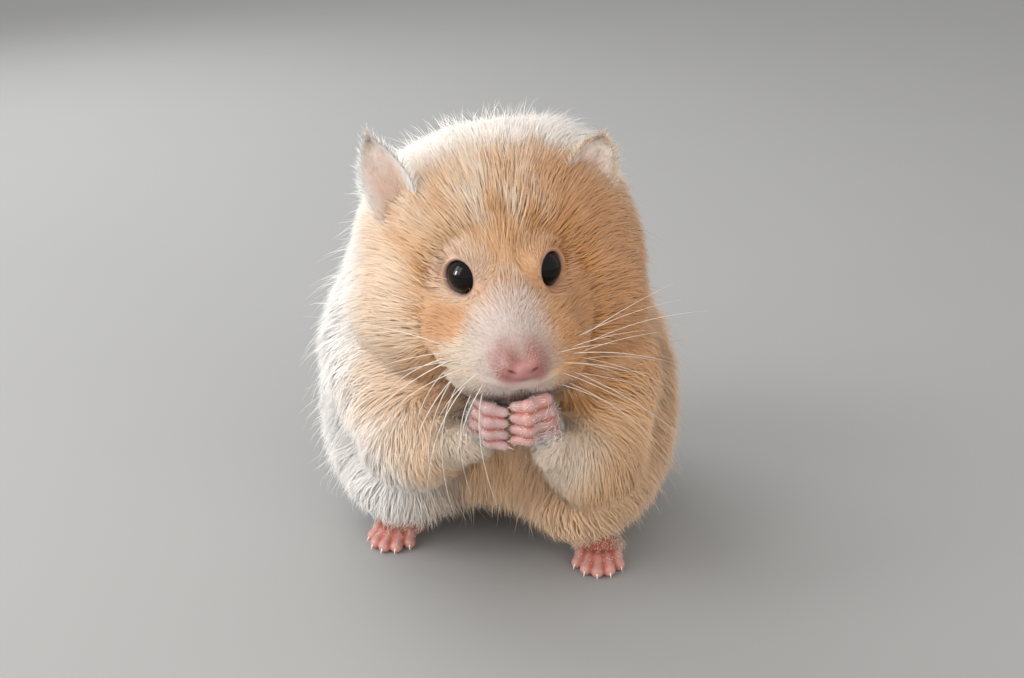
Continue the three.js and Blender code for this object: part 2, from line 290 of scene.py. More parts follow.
def folded_nose(h):
    """Coordinates about the nose pad with its two halves laid on one another."""
    n = h - NOSE_AT
    return np.stack([np.abs(h[..., 0]), n[..., 1], n[..., 2]], -1)


def nostril_field(folded):
    return limb(folded, [1.05, -1.5, -0.75], [2.3, -0.35, 0.25], 0.24, 0.14)


MOUTH_HEIGHT, MOUTH_CURVE, MOUTH_HALF_WIDTH = -17.6, 0.034, 6.5


def mouth_line(across):
    """Height of the closed mouth in the head's frame at a distance from the midline."""
    return MOUTH_HEIGHT + MOUTH_CURVE * across ** 2


def fine_face_field(h):
    """Skin of the muzzle, nose, lids and chin in the head's frame."""
    d = blend(1.6, face_field(h, 1), jaw_field(h, 1))
    across = np.abs(h[..., 0])
    # lids: a low mound over each eye, opened along the eye's own direction
    for side in SIDES.values():
        reach, along, from_axis = about_eye(h, side)
        d = blend(LID_SOFTNESS, d, reach - (EYE_RADIUS + LID_HEIGHT))
        opening = np.maximum(from_axis - EYE_OPENING - 1.1 * np.maximum(along - 1.7, 0), 0.8 - along)
        d = carve(0.5, d, opening)
        d = carve(0.15, d, reach - (EYE_RADIUS + EYE_PLAY))
    # nose pad, its two wings and the nostrils
    folded = folded_nose(h)
    pad = ellipsoid(folded, [0, 0.1, -0.5], [1.9, 1.6, 1.55], turned("X", -20))
    wing = ellipsoid(folded, [2.0, 0.75, 0.35], [1.15, 1.6, 1.5])
    nose = carve(0.6, blend(1.0, pad, wing), nostril_field(folded))
    d = blend(1.2, d, nose)
    # the cleft under the nose and the closed mouth
    cleft = limb(h, [0, NOSE_AT[1] - 1.7, NOSE_AT[2] - 1.8], [0, -12.6, -17.4], 0.28, 0.34)
    d = carve(0.9, d, cleft)
    gap = np.abs(h[..., 2] - mouth_line(across)) - 0.28
    reach = np.maximum(gap, np.maximum(across - MOUTH_HALF_WIDTH, h[..., 1] + 6.0))
    return carve(1.1, d, reach)


PAW_X = 7.4
PAW_RAISED = {1: 1.2, -1: 0.0}
FINGER_RISE = 2.05
FINGER_BULGE = [0.3, 1.1, 1.2, 0.6]


def finger_joints(side, n):
    """Knuckle, bend and tip of one finger, counted from the lowest."""
    bulge = FINGER_BULGE[n]
    z = 35.2 + PAW_RAISED[side] + FINGER_RISE * n
    return (np.array([PAW_X + side * 5.5, -35.6 - bulge / 2, z + 0.3]),
            np.array([PAW_X + side * 3.4, -38.2 - bulge, z + 0.1]),
            np.array([PAW_X + side * 0.9, -38.2, z - 0.5]))


def paw_field(p, side):
    lift = PAW_RAISED[side]
    palm = ellipsoid(p, [PAW_X + side * 4.5, -34.8, 38.2 + lift], [2.8, 2.8, 4.3])
    cuff = limb(p, wrist(side), [PAW_X + side * 4.8, -34.4, 37.0 + lift], 2.5, 2.3)
    d = blend(2.0, palm, cuff)
    for n in range(len(FINGER_BULGE)):
        knuckle, bend, tip = finger_joints(side, n)
        finger = blend(0.5, limb(p, knuckle, bend, 1.1, 1.02), limb(p, bend, tip, 1.04, 0.86),
                       ellipsoid(p, bend, [1.2, 1.2, 1.08]), ellipsoid(p, knuckle, [1.3, 1.35, 1.1]))
        d = blend(0.5, d, finger)
    return d


SOLE_MIDDLE, SOLE_SPREAD, SOLE_Y = -0.9, 19.2, -8.6
FOOT_HEADING = 8
TOE_FAN = [-26, -12, 0, 12, 26]
TOE_REACH = [3.6, 5.2, 5.8, 5.3, 3.7]
TOE_ROOT = 5.2
CLAW_REACH, CLAW_ROOT = 1.7, 0.4


def foot_place(p, side):
    """Coordinates along a hind foot: x across it, -y to its toes, z up."""
    return (p - [SOLE_MIDDLE + side * SOLE_SPREAD, SOLE_Y, 0]) @ turned("Z", side * FOOT_HEADING)


def toe_joints(n):
    """Root, middle and tip of one toe in the foot's own coordinates, at floor level."""
    angle = math.radians(TOE_FAN[n])
    way = np.array([math.sin(angle), -math.cos(angle), 0])
    root = way * TOE_ROOT
    tip = way * (TOE_ROOT + TOE_REACH[n])
    return root, (root + tip) / 2, tip


def foot_field(p, side):
    f = foot_place(p, side)
    sole = limb(f, [0, 9.5, 3.4], [0, -3.6, 2.4], 3.2, 2.6)
    ball = ellipsoid(f, [0, -3.2, 2.2], [4.9, 3.6, 2.3])
    d = blend(2.0, sole, ball)
    for n in range(len(TOE_FAN)):
        root, middle, tip = toe_joints(n)
        toe = blend(0.4, limb(f, root + [0, 1.5, 2.2], middle + [0, 0, 2.0], 1.3, 1.2),
                    limb(f, middle + [0, 0, 2.0], tip + [0, 0, 1.15], 1.22, 1.0),
                    ellipsoid(f, middle + [0, 0, 1.95], [1.4, 1.35, 1.4]),
                    ellipsoid(f, tip + [0, 0.1, 1.05], [1.15, 1.25, 1.05]))
        d = blend(0.5, d, toe)
    return np.maximum(d, 0.05 - f[..., 2])


# ------------------------------------------------------------------ surfaces out of fields
def grid_points(low, high, cell):
    axes = [np.arange(a, b + cell, cell) for a, b in zip(low, high)]
    return axes, np.stack(np.meshgrid(*axes, indexing="ij"), -1)


BATCH = 200000


def narrow_band(field, low, high, cell, coarse=4):
    """The field on a fine grid, worked out in full only near the surface."""
    axes, _ = grid_points(low, high, cell * coarse)
    rough = field(np.stack(np.meshgrid(*axes, indexing="ij"), -1))
    counts = [(len(a) - 1) * coarse + 1 for a in axes]
    places = [np.arange(n) / coarse for n in counts]
    value = rough
    for axis, place in enumerate(places):
        below = np.minimum(place.astype(int), value.shape[axis] - 2)
        part = (place - below).reshape([-1 if i == axis else 1 for i in range(3)])
        value = np.take(value, below, axis) * (1 - part) + np.take(value, below + 1, axis) * part
    near = np.abs(value) < cell * coarse * 0.9
    index = np.argwhere(near)
    points = np.asarray(low, float) + index * cell
    batches = np.array_split(points, max(1, len(points) // BATCH))
    value[near] = np.concatenate([field(batch) for batch in batches])
    return value


def surface_of(field, low, high, cell, adaptivity=0.0):
    """Vertices (mm) and faces of a field's zero surface inside a box."""
    value = narrow_band(field, low, high, cell)
    grid = openvdb.FloatGrid(3.0)
    grid.copyFromArray(np.clip(value / cell, -3, 3).astype(np.float32))
    points, triangles, quads = grid.convertToPolygons(isovalue=0, adaptivity=adaptivity)
    points = np.asarray(low, float) + points.astype(float) * cell
    return points, [list(map(int, f)) for f in quads] + [list(map(int, f)) for f in triangles]


class Surface:
    """Vertices in millimetres with triangles and quads, and what is needed to plant hair on it."""

    def __init__(self, points, faces):
        self.points = np.asarray(points, float)
        self.faces = faces

    def placed(self, place):
        return Surface(place(self.points), self.faces)

    def triangles(self):
        rows = []
        for face in self.faces:
            rows.append(face[:3])
            if len(face) == 4:
                rows.append([face[0], face[2], face[3]])
        return np.array(rows)

    def normals(self, triangles):
        corners = self.points[triangles]
        across = np.cross(corners[:, 1] - corners[:, 0], corners[:, 2] - corners[:, 0])
        total = np.zeros_like(self.points)
        for corner in range(3):
            np.add.at(total, triangles[:, corner], across)
        return unit(total), length_of(across) / 2

    def scatter(self, density, rng):
        """Random places on the surface, so many to the square millimetre, with their normals."""
        triangles = self.triangles()
        normals, area = self.normals(triangles)
        corners = self.points[triangles]
        expected = area * np.maximum(density(corners.mean(1)), 0)
        count = np.floor(expected + rng.random(len(expected))).astype(int)
        chosen = np.repeat(np.arange(len(triangles)), count)
        a, b = rng.random((2, len(chosen)))
        flip = a + b > 1
        a, b = np.where(flip, 1 - a, a), np.where(flip, 1 - b, b)
        weights = np.stack([1 - a - b, a, b], -1)[..., None]
        roots = (corners[chosen] * weights).sum(1)
        return roots, unit((normals[triangles[chosen]] * weights).sum(1))


# ------------------------------------------------------------------ markings, with painted shade
def coat_setting(name):
    return getattr(bpy.context.scene.hamster_coat, name)


def linear(hex_colour):
    """sRGB hex to linear RGB."""
    value = np.array([int(hex_colour[i:i + 2], 16) for i in (0, 2, 4)]) / 255
    return np.where(value <= 0.04045, value / 12.92, ((value + 0.055) / 1.055) ** 2.4)


def mix(a, b, weight):
    """Colour a where weight is 0, and b where it is 1."""
    return a + (b - a) * weight[..., None]


FUR = {
    "apricot": linear("e8b787"),
    "golden": linear("c98849"),
    "cream": linear("f1e2cf"),
    "white": linear("fcf9f5"),
    "muzzle": linear("d2c2b0"),
    "lavender": linear("d9c8c3"),
    "belly": linear("c9a988"),
    "ring": linear("e2c6b4"),
    "flush": linear("a8756c"),
    # painted shade: dark brown for the shade under the muzzle
    "chin": linear("6b4a42"),
}
PATCHES = Ripple(11, 26)
STREAKS = Ripple(12, 7)


def head_share(p):
    """1 on the head, 0 on the trunk, and in between round the neck."""
    away = face_field(head_frame(p), 0)
    return 1 - smoothstep(-1.0, 7.0, away)


def body_markings(p):
    """Apricot over the body, with white along its right side and over its top."""
    x = p[..., 0] - MIDLINE_X
    y, z = p[..., 1], p[..., 2]
    colour = mix(FUR["apricot"], FUR["golden"], smoothstep(-0.2, 1.2, STREAKS(p)) * 0.3)
    forward = smoothstep(24, 4, y)
    colour = mix(colour, FUR["cream"], smoothstep(4, -12, x) * forward * 0.4)
    edge = -6.0 - 8.5 * smoothstep(18, 36, z)
    colour = mix(colour, FUR["white"], smoothstep(edge + 6, edge - 6, x + 2 * STREAKS(p)) * forward)
    high = smoothstep(58, 74, z) * smoothstep(-18, -8, y)
    colour = mix(colour, FUR["white"], high * 0.9)
    low = smoothstep(30, 8, z) * smoothstep(-16, -8, x)
    colour = mix(colour, FUR["cream"], low * 0.35)
    colour = mix(colour, FUR["cream"], smoothstep(11, 4, from_wrists(p)) * 0.75)
    under = smoothstep(26, 14, z) * smoothstep(15, 4, np.abs(x)) * smoothstep(6, -10, y)
    return mix(colour, FUR["belly"], under * 0.8)


# centre in the head's frame, squash, distances at which the spot fades out and is full, how far
# the streaks break its edge, colour and strength, in the order in which they are laid on
HEAD_SPOTS = {
    "brow": ([0.5, -2.5, 0.5], [1, 1, 1], 8.0, 3.0, 0.6, "golden", 0.4),
    "muzzle": ([-3.0, -10.5, -13.0], [1.0, 1.0, 1.15], 12.5, 6.0, 0.0, "muzzle", 0.9),
    "under_right_eye": ([-9.8, -4.5, -6.8], [1, 1, 1], 5.5, 2.0, 0.6, "golden", 0.85),
    "nose_wings": ([2.0, -14.0, -10.6], [0.95, 0.75, 0.8], 4.6, 1.4, 0.5, "flush", 0.8),
    "ring_right": ([-6.4, 1.5, -0.8], [1, 1, 1], 5.6, 3.9, 0.0, "ring", 0.6),
    "ring_left": ([6.4, 1.5, -0.8], [1, 1, 1], 5.6, 3.9, 0.0, "ring", 0.2),
}


def spotted(head, h, streak, name):
    """The head's colours with one of its spots laid on."""
    centre, squash, faded, full, ragged, fur, strength = HEAD_SPOTS[name]
    away = length_of((h - centre) * squash) + ragged * streak
    return mix(head, FUR[fur], smoothstep(faded, full, away) * strength)


def head_markings_and_shade(h, p):
    """Colours of the head's coat, from places in the head's frame and the animal's, with painted shade
    under the muzzle and over the head's left side.
    """
    across = np.abs(h[..., 0])
    streak = STREAKS(p * 1.4)
    head = mix(FUR["apricot"], FUR["golden"], smoothstep(-0.4, 1.0, streak) * 0.45)
    crown = smoothstep(8, 15, h[..., 1] + 1.5 * streak) * smoothstep(4, 10, h[..., 2])
    head = mix(head, FUR["white"], crown * 0.85)
    forehead = smoothstep(2.0, 8.0, h[..., 2]) * smoothstep(24, 8, h[..., 1])
    head = mix(head, FUR["cream"], forehead * 0.7 * smoothstep(0.8, -0.9, streak))
    # the head's left side, away from the key light, is painted golden: partly its own deeper coat,
    # partly painted shade
    left_side_golden_and_shaded = smoothstep(1, 9, h[..., 0]) * (1 - crown)
    head = mix(head, FUR["golden"], left_side_golden_and_shaded * 0.85)
    for name in ("brow", "muzzle"):
        head = spotted(head, h, streak, name)
    bridge = smoothstep(8.0, 3.0, np.abs(h[..., 0] + 1.2)) * smoothstep(-1.0, -8.0, h[..., 1] + streak)
    head = mix(head, FUR["lavender"], bridge * 0.8)
    head = spotted(head, h, streak, "under_right_eye")
    jowl = smoothstep(-11.5, -16, h[..., 0] + streak)
    head = mix(head, FUR["cream"], jowl * 0.45)
    head = spotted(head, np.stack([across, h[..., 1], h[..., 2]], -1), streak, "nose_wings")
    for name in ("ring_right", "ring_left"):
        head = spotted(head, h, streak, name)
    # painted shade: the chin under the muzzle is darkened for the shade that falls there
    chin = smoothstep(-15.9, -17.3, h[..., 2] - 0.02 * across ** 2) * smoothstep(10, 7, across)
    head = mix(head, FUR["chin"], chin * 0.9)
    outer = smoothstep(-12, -20, p[..., 0] - MIDLINE_X + 1.5 * streak)
    return mix(head, FUR["white"], outer * 0.85)


def markings_and_shade(p):
    """The coat's colour at its roots' places, painted shade included, the same for the skin under it."""
    FUR.update({name: np.array(coat_setting(name)) for name in ("apricot", "golden", "white")})
    colour = mix(body_markings(p), head_markings_and_shade(head_frame(p), p), head_share(p))
    return np.clip(colour * (1 + 0.05 * PATCHES(p)[..., None]), 0, 1)


# ------------------------------------------------------------------ the lie of the coat
def lie_of(p):
    """The way the hair points along the body, before it is laid on the surface."""
    x = p[..., 0] - MIDLINE_X
    body = np.stack([0.012 * x, np.full(x.shape, 0.5), np.full(x.shape, -0.95)], -1)
    h = head_frame(p)
    away = h - [0, -17.0, -9.5]
    away[..., 0] *= 1.25
    away = unit(unit(away) + [0, 0.1, -0.12])
    for side in SIDES.values():
        out = h - eye_centre(side)
        near = 1 - smoothstep(EYE_RADIUS + 0.8, EYE_RADIUS + 4.5, length_of(out))
        out = unit(out)
        inwards = np.minimum((away * out).sum(-1), 0) - 0.6
        away = away - out * (inwards * near)[..., None]
    head = unit(away) @ HEAD_TURN.T
    share = head_share(p)[..., None]
    flow = unit(body) * (1 - share) + head * share
    for side in SIDES.values():
        near = 0.65 * (1 - smoothstep(-2.0, 4.0, forearm_field(p, side, 0)))
        along = unit(wrist(side) - elbow(side)) + [0, 0, -0.8]
        flow = flow * (1 - near[..., None]) + unit(along) * near[..., None]
    return flow


def gradient(field, p, step=0.25):
    """A field's values at some places, and the way in which it grows there."""
    here = field(p)
    steps = [field(p + np.eye(3)[axis] * step) - here for axis in range(3)]
    return here, unit(np.stack(steps, -1))


def skin_field(p):
    return whole_field(p, 1)


def flat_on(direction, normal):
    """A direction laid flat on the surface that has this normal."""
    return unit(direction - (direction * normal).sum(-1)[..., None] * normal)


class Lay:
    """How one growth of hair lies: its length, rise, thickness and how far it gathers in locks."""

    def __init__(self, length, rise, width, links=3, gather=0.6, lock=2.2, stray=0.22, curl=0.12,
                 ramp=0.75, field=skin_field, lie=lie_of, lean=0.0):
        self.length, self.rise, self.width = length, rise, width
        self.links, self.gather, self.lock = links, gather, lock
        self.stray, self.curl, self.ramp = stray, curl, ramp
        self.field, self.lie, self.lean = field, lie, lean


def combed(roots, normals, lay, rng):
    """Paths of hairs from their roots: each rises to its height and then follows the body."""
    count = len(roots)
    length = lay.length(roots) * rng.uniform(0.72, 1.18, count)
    top = lay.rise(roots) * rng.uniform(0.45, 1.1, count)
    step = (length / lay.links)[:, None]
    sideways = unit(rng.normal(size=(count, 3)))
    sway = Ripple(31, 9.0)
    lean = Ripple(32, 16.0)
    path, facing = [roots - normals * 0.35], [normals]
    here, normal = roots, normals
    height = np.zeros(count)
    for link in range(1, lay.links + 1):
        flow = flat_on(lay.lie(here), normal)
        across = np.cross(normal, flow)
        swing = lay.curl * sway(here) + 0.12 * lean(here)
        flow = unit(flow + across * swing[:, None] + sideways * lay.stray)
        flow = flat_on(flow, normal)
        target = top * (link / lay.links) ** lay.ramp
        climb = np.clip((target - height) / step[:, 0], -0.6, 0.94)
        here = here + step * (flow * np.sqrt(1 - climb ** 2)[:, None] + normal * climb[:, None])
        path.append(here)
        facing.append(normal)
        if lay.field is None:
            height = height + climb * step[:, 0]
        elif link < lay.links:
            height, normal = gradient(lay.field, here)
    return np.stack(path, 1), np.stack(facing, 1)


def gathered(path, lay, rng):
    """Draws each hair's tip towards the nearest guide hair, so that the coat parts into locks."""
    guides = rng.permutation(len(path))[:max(8, int(len(path) / max(lay.lock, 1)))]
    tree = KDTree(len(guides))
    for n, guide in enumerate(guides):
        tree.insert(path[guide, 0], n)
    tree.balance()
    nearest = np.array([guides[tree.find(root)[1]] for root in path[:, 0]])
    share = np.clip(rng.normal(lay.gather, 0.18, len(path)), 0, 0.95)
    t = np.linspace(0, 1, path.shape[1]) ** 1.3
    pull = (share[:, None] * t)[..., None]
    offset = (path[:, 0] - path[nearest, 0])[:, None] * (1 - t[:, None]) ** 0.5
    return path * (1 - pull) + (path[nearest] + offset) * pull


HAIR_SECTION = np.array([[-1.0, -0.12], [1.0, -0.12], [0.0, 0.22]])


def strands(path, facing, width, lean, rng):
    """Closed three-sided hairs along paths, broad side outwards: vertices, the way that each is to
    face, triangles, each vertex's share of the way along, and the vertices in one hair."""
    count, rows = path.shape[:2]
    rings = rows - 2
    forward = unit(path[:, 2:] - path[:, :-2])
    side = unit(np.cross(forward, facing[:, 1:-1]))
    rise = np.cross(side, forward)
    roll = rng.normal(0, 0.22, count)[:, None, None]
    side, rise = side * np.cos(roll) + rise * np.sin(roll), rise * np.cos(roll) - side * np.sin(roll)
    t = np.linspace(0, 1, rows)[1:-1]
    half = (width[:, None] * (1 - t) ** 0.5 / 2)[..., None]
    ring_points = np.stack([path[:, 1:-1] + half * (a * side + b * rise) for a, b in HAIR_SECTION], 2)
    points = np.concatenate([path[:, :1], ring_points.reshape(count, rings * 3, 3), path[:, -1:]], 1)
    tilt = rng.normal(0, 0.16, (count, 1, 1)) * side
    facing = facing + lean * unit(path[:, -1:] - path[:, :1])
    ring_facing = np.stack([facing[:, 1:-1] + tilt + 0.3 * a * side for a, _ in HAIR_SECTION], 2)
    ends = facing[:, [0, -1]] + tilt[:, :1]
    way = np.concatenate([ends[:, :1], ring_facing.reshape(count, rings * 3, 3), ends[:, 1:]], 1)
    per = rings * 3 + 2
    faces = []
    for corner in range(3):
        after = (corner + 1) % 3
        faces.append([0, 1 + corner, 1 + after])
        for ring in range(rings - 1):
            a, b = 1 + ring * 3 + corner, 1 + ring * 3 + after
            faces.append([a, b + 3, b])
            faces.append([a, a + 3, b + 3])
        last = 1 + (rings - 1) * 3
        faces.append([last + after, last + corner, per - 1])
    triangles = (np.array(faces)[None] + (np.arange(count) * per)[:, None, None]).reshape(-1, 3)
    share = np.concatenate([[0], np.repeat(t, 3), [1]])
    return points.reshape(-1, 3), unit(way).reshape(-1, 3), triangles, share, per


# ------------------------------------------------------------------ meshes and materials
def add_node(tree, kind, settings=None, inputs=None):
    """Adds one node, sets its properties, and fills or links its inputs by name or number."""
    node = tree.nodes.new(kind)
    for key, value in (settings or {}).items():
        setattr(node, key, value)
    for key, value in (inputs or {}).items():
        if isinstance(value, bpy.types.NodeSocket):
            tree.links.new(value, node.inputs[key])
        else:
            node.inputs[key].default_value = value
    return node


def material_of(name, wire):
    """The material of a name, wired by a function of its tree that returns its shader."""
    material = bpy.data.materials.get(name)
    if material is None:
        material = bpy.data.materials.new(name)
        material.use_nodes = True
        tree = material.node_tree
        tree.nodes.clear()
        surface = wire(tree).outputs["BSDF"]
        add_node(tree, "ShaderNodeOutputMaterial", inputs={"Surface": surface})
    return material


def rgba(hex_colour):
    return (*linear(hex_colour), 1.0)


def hair_shader(tree):
    """Long soft hair: each hair is keratin, deeper at its root and paler and duller at its tip."""
    coat = add_node(tree, "ShaderNodeAttribute", {"attribute_name": "coat"})
    tip = add_node(tree, "ShaderNodeAttribute", {"attribute_name": "tip"})
    vary = add_node(tree, "ShaderNodeAttribute", {"attribute_name": "vary"})
    place = add_node(tree, "ShaderNodeTexCoord")
    bands = add_node(tree, "ShaderNodeTexNoise", inputs={
        "Vector": place.outputs["Object"], "Scale": 1 / (3.5 * MM), "Detail": 2.0})
    deep = add_node(tree, "ShaderNodeHueSaturation", inputs={
        "Saturation": 1.1, "Value": 0.93, "Color": coat.outputs["Color"]})
    pale = add_node(tree, "ShaderNodeMix", {"data_type": "RGBA"}, {
        "Factor": 0.18, 6: coat.outputs["Color"], 7: rgba("fbf4ea")})
    along = add_node(tree, "ShaderNodeMapRange", inputs={
        "Value": tip.outputs["Fac"], "From Min": 0.15, "From Max": 0.95})
    hair = add_node(tree, "ShaderNodeMix", {"data_type": "RGBA"}, {
        "Factor": along.outputs["Result"], 6: deep.outputs["Color"], 7: pale.outputs[2]})
    shade = add_node(tree, "ShaderNodeMapRange", inputs={
        "Value": vary.outputs["Fac"], "To Min": 0.9, "To Max": 1.06})
    mottle = add_node(tree, "ShaderNodeMapRange", inputs={
        "Value": bands.outputs["Fac"], "From Min": 0.3, "From Max": 0.7, "To Min": 0.93, "To Max": 1.05})
    both = add_node(tree, "ShaderNodeMath", {"operation": "MULTIPLY"}, {
        0: shade.outputs["Result"], 1: mottle.outputs["Result"]})
    toned = add_node(tree, "ShaderNodeHueSaturation", inputs={
        "Value": both.outputs["Value"], "Color": hair.outputs[2]})
    return add_node(tree, "ShaderNodeBsdfPrincipled", inputs={
        "Base Color": toned.outputs["Color"], "Roughness": 0.62, "Specular IOR Level": 0.28,
        "IOR": 1.55, "Sheen Weight": 0.12, "Sheen Roughness": 0.5})


def skin_shader(tree):
    """Living skin: soft, slightly waxy and finely creased; under the coat it carries its markings."""
    coat = add_node(tree, "ShaderNodeAttribute", {"attribute_name": "coat"})
    place = add_node(tree, "ShaderNodeTexCoord")
    pores = add_node(tree, "ShaderNodeTexVoronoi", {"feature": "F1"}, {
        "Vector": place.outputs["Object"], "Scale": 1 / (0.35 * MM)})
    flush = add_node(tree, "ShaderNodeTexNoise", inputs={
        "Vector": place.outputs["Object"], "Scale": 1 / (2.2 * MM), "Detail": 3.0})
    tone = add_node(tree, "ShaderNodeMapRange", inputs={
        "Value": flush.outputs["Fac"], "From Min": 0.3, "From Max": 0.7, "To Min": 0.9, "To Max": 1.08})
    toned = add_node(tree, "ShaderNodeHueSaturation", inputs={
        "Value": tone.outputs["Result"], "Color": coat.outputs["Color"]})
    bump = add_node(tree, "ShaderNodeBump", inputs={
        "Strength": 0.35, "Distance": 0.12 * MM, "Height": pores.outputs["Distance"]})
    return add_node(tree, "ShaderNodeBsdfPrincipled", inputs={
        "Base Color": toned.outputs["Color"], "Roughness": 0.5, "IOR": 1.4,
        "Subsurface Weight": 0.25, "Subsurface Scale": 0.7 * MM, "Normal": bump.outputs["Normal"]})


def eye_shader(tree):
    """A living eye: nearly black, under a wet and perfectly smooth cornea."""
    place = add_node(tree, "ShaderNodeTexCoord")
    depth = add_node(tree, "ShaderNodeTexNoise", inputs={
        "Vector": place.outputs["Object"], "Scale": 1 / (1.5 * MM)})
    tint = add_node(tree, "ShaderNodeMix", {"data_type": "RGBA"}, {
        "Factor": depth.outputs["Fac"], 6: rgba("040303"), 7: rgba("0f0908")})
    return add_node(tree, "ShaderNodeBsdfPrincipled", inputs={
        "Base Color": tint.outputs[2], "Roughness": 0.03, "IOR": 1.34})


def horn_material(name, base, tip):
    """Claw or whisker keratin: smooth and pale, with faint clouds of a warmer tone."""
    def wire(tree):
        place = add_node(tree, "ShaderNodeTexCoord")
        grain = add_node(tree, "ShaderNodeTexNoise", inputs={
            "Vector": place.outputs["Object"], "Scale": 1 / (0.8 * MM)})
        tint = add_node(tree, "ShaderNodeMix", {"data_type": "RGBA"}, {
            "Factor": grain.outputs["Fac"], 6: rgba(base), 7: rgba(tip)})
        return add_node(tree, "ShaderNodeBsdfPrincipled", inputs={
            "Base Color": tint.outputs[2], "Roughness": 0.38, "IOR": 1.54})
    return material_of(name, wire)


def floor_material(colour):
    """Matt painted board: even and pale, with only a breath of unevenness."""
    def wire(tree):
        place = add_node(tree, "ShaderNodeTexCoord")
        cloud = add_node(tree, "ShaderNodeTexNoise", inputs={
            "Vector": place.outputs["Object"], "Scale": 14.0})
        tint = add_node(tree, "ShaderNodeMix", {"data_type": "RGBA"}, {
            "Factor": cloud.outputs["Fac"], 6: (*colour, 1), 7: (*(0.96 * v for v in colour), 1)})
        return add_node(tree, "ShaderNodeBsdfPrincipled", inputs={
            "Base Color": tint.outputs[2], "Roughness": 0.85, "Specular IOR Level": 0.2})
    return material_of("Matt pale board", wire)


def link_object(name, mesh, material, nodes=()):
    thing = bpy.data.objects.new(name, mesh)
    bpy.context.scene.collection.objects.link(thing)
    mesh.materials.clear()
    mesh.materials.append(material)
    mesh.polygons.foreach_set("use_smooth", np.ones(len(mesh.polygons), bool))
    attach(thing, "root")
    if nodes:
        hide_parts(*nodes)
    return thing


def to_metres(points):
    return (points + SHIFT) * MM


def paint(mesh, name, colours):
    """Stores one colour for each vertex."""
    layer = mesh.attributes.new(name, "FLOAT_COLOR", "POINT")
    layer.data.foreach_set("color", np.concatenate([colours, np.ones((len(colours), 1))], 1).ravel())


def measure(mesh, name, values):
    """Stores one number for each vertex."""
    layer = mesh.attributes.new(name, "FLOAT", "POINT")
    layer.data.foreach_set("value", values)


def triangle_mesh(name, points, triangles):
    mesh = bpy.data.meshes.new(name)
    mesh.vertices.add(len(points))
    mesh.vertices.foreach_set("co", to_metres(points).ravel())
    mesh.loops.add(triangles.size)
    mesh.loops.foreach_set("vertex_index", triangles.ravel())
    mesh.polygons.add(len(triangles))
    mesh.polygons.foreach_set("loop_start", np.arange(len(triangles)) * 3)
    mesh.update(calc_edges=True)
    return mesh


def soften(mesh, way):
    """Makes hair shade with the body that it lies on, so that the coat looks soft."""
    layer = mesh.attributes.new("custom_normal", "FLOAT_VECTOR", "POINT")
    layer.data.foreach_set("vector", way.astype(np.float32).ravel())


TUFT_PATCH = 0.003
MAP_MARGIN = 0.02


def unwrapped(roots, normals):
    """Places on the unit square for roots: the piece's patch of skin laid out flat, areas kept."""
    middle = roots.mean(0)
    facing = normals.mean(0)
    spread = length_of(roots - middle).mean()
    facing = facing if length_of(facing) > 0.2 else np.array([0, -0.2, 0])
    axis = unit(facing)
    way = unit(roots - (middle - axis * spread * 0.9))
    side = unit(np.cross(axis, [0.13, 0.2, 1.0]))
    rise = np.cross(side, axis)
    scale = np.sqrt(2 / np.maximum(1 + way @ axis, 0.05))
    flat = np.stack([way @ side, way @ rise], -1) * scale[:, None]
    low, high = flat.min(0), flat.max(0)
    return MAP_MARGIN + (flat - low) / (high - low) * (1 - 2 * MAP_MARGIN - TUFT_PATCH)


def grow(name, roots, normals, lay, colour, rng):
    """One piece of the coat."""
    path, facing = combed(roots, normals, lay, rng)
    path = gathered(path, lay, rng)
    path[..., 2] = np.maximum(path[..., 2], 0.25)
    width = lay.width(roots) * rng.uniform(0.7, 1.25, len(roots))
    points, way, triangles, share, per = strands(path, facing, width, lay.lean, rng)
    mesh = triangle_mesh(name, points, triangles)
    soften(mesh, way)
    paint(mesh, "coat", np.repeat(colour(roots), per, 0))
    measure(mesh, "tip", np.tile(share, len(roots)))
    measure(mesh, "vary", np.repeat(rng.random(len(roots)), per))
    rings = path.shape[1] - 2
    across = np.concatenate([[0.5], np.tile([0.1, 0.5, 0.9], rings), [0.5]])
    local = np.stack([share, across], -1) * TUFT_PATCH
    flat = (unwrapped(roots, normals)[:, None] + local[None]).reshape(-1, 2)
    mesh.uv_layers.new(name="OFBake").data.foreach_set("uv", flat[triangles.ravel()].ravel())
    hair = material_of("Hamster hair, pale-tipped", hair_shader)
    return link_object(name, mesh, hair)


# ------------------------------------------------------------------ ears, claws and whiskers
EAR_THICKNESS = 0.9
EARS = {
    "right": {"root": [-15.6, 12.6, 5.6], "lean": [-0.33, 0.02, 1], "face": [-0.3, -0.95, 0.1],
              "tall": 16.4, "wide": 4.4, "point": 0.75},
    "left": {"root": [15.1, 13.2, 5.4], "lean": [0.42, 0.12, 1], "face": [0.34, -0.92, 0.1],
             "tall": 12.6, "wide": 5.0, "point": 0.45},
}
EAR_ROWS, EAR_COLUMNS = 40, 30
EAR_REACH = (-0.12, 0.985)


def ear_frame(name):
    """An ear's root, and the ways to its tip, to its front and to its outer edge."""
    form = EARS[name]
    rise = unit(np.array(form["lean"], float))
    face = np.array(form["face"], float)
    face = unit(face - (face @ rise) * rise)
    return np.array(form["root"]), rise, face, np.cross(rise, face) * SIDES[name]


def ear_width(name, u):
    """Half the width of an ear at a share of the way to its tip."""
    form = EARS[name]
    swell = np.sin(math.pi * np.clip(0.14 + 0.86 * u, 0, 1) ** 0.92)
    return form["wide"] * swell ** form["point"] * (1 - 0.1 * u)


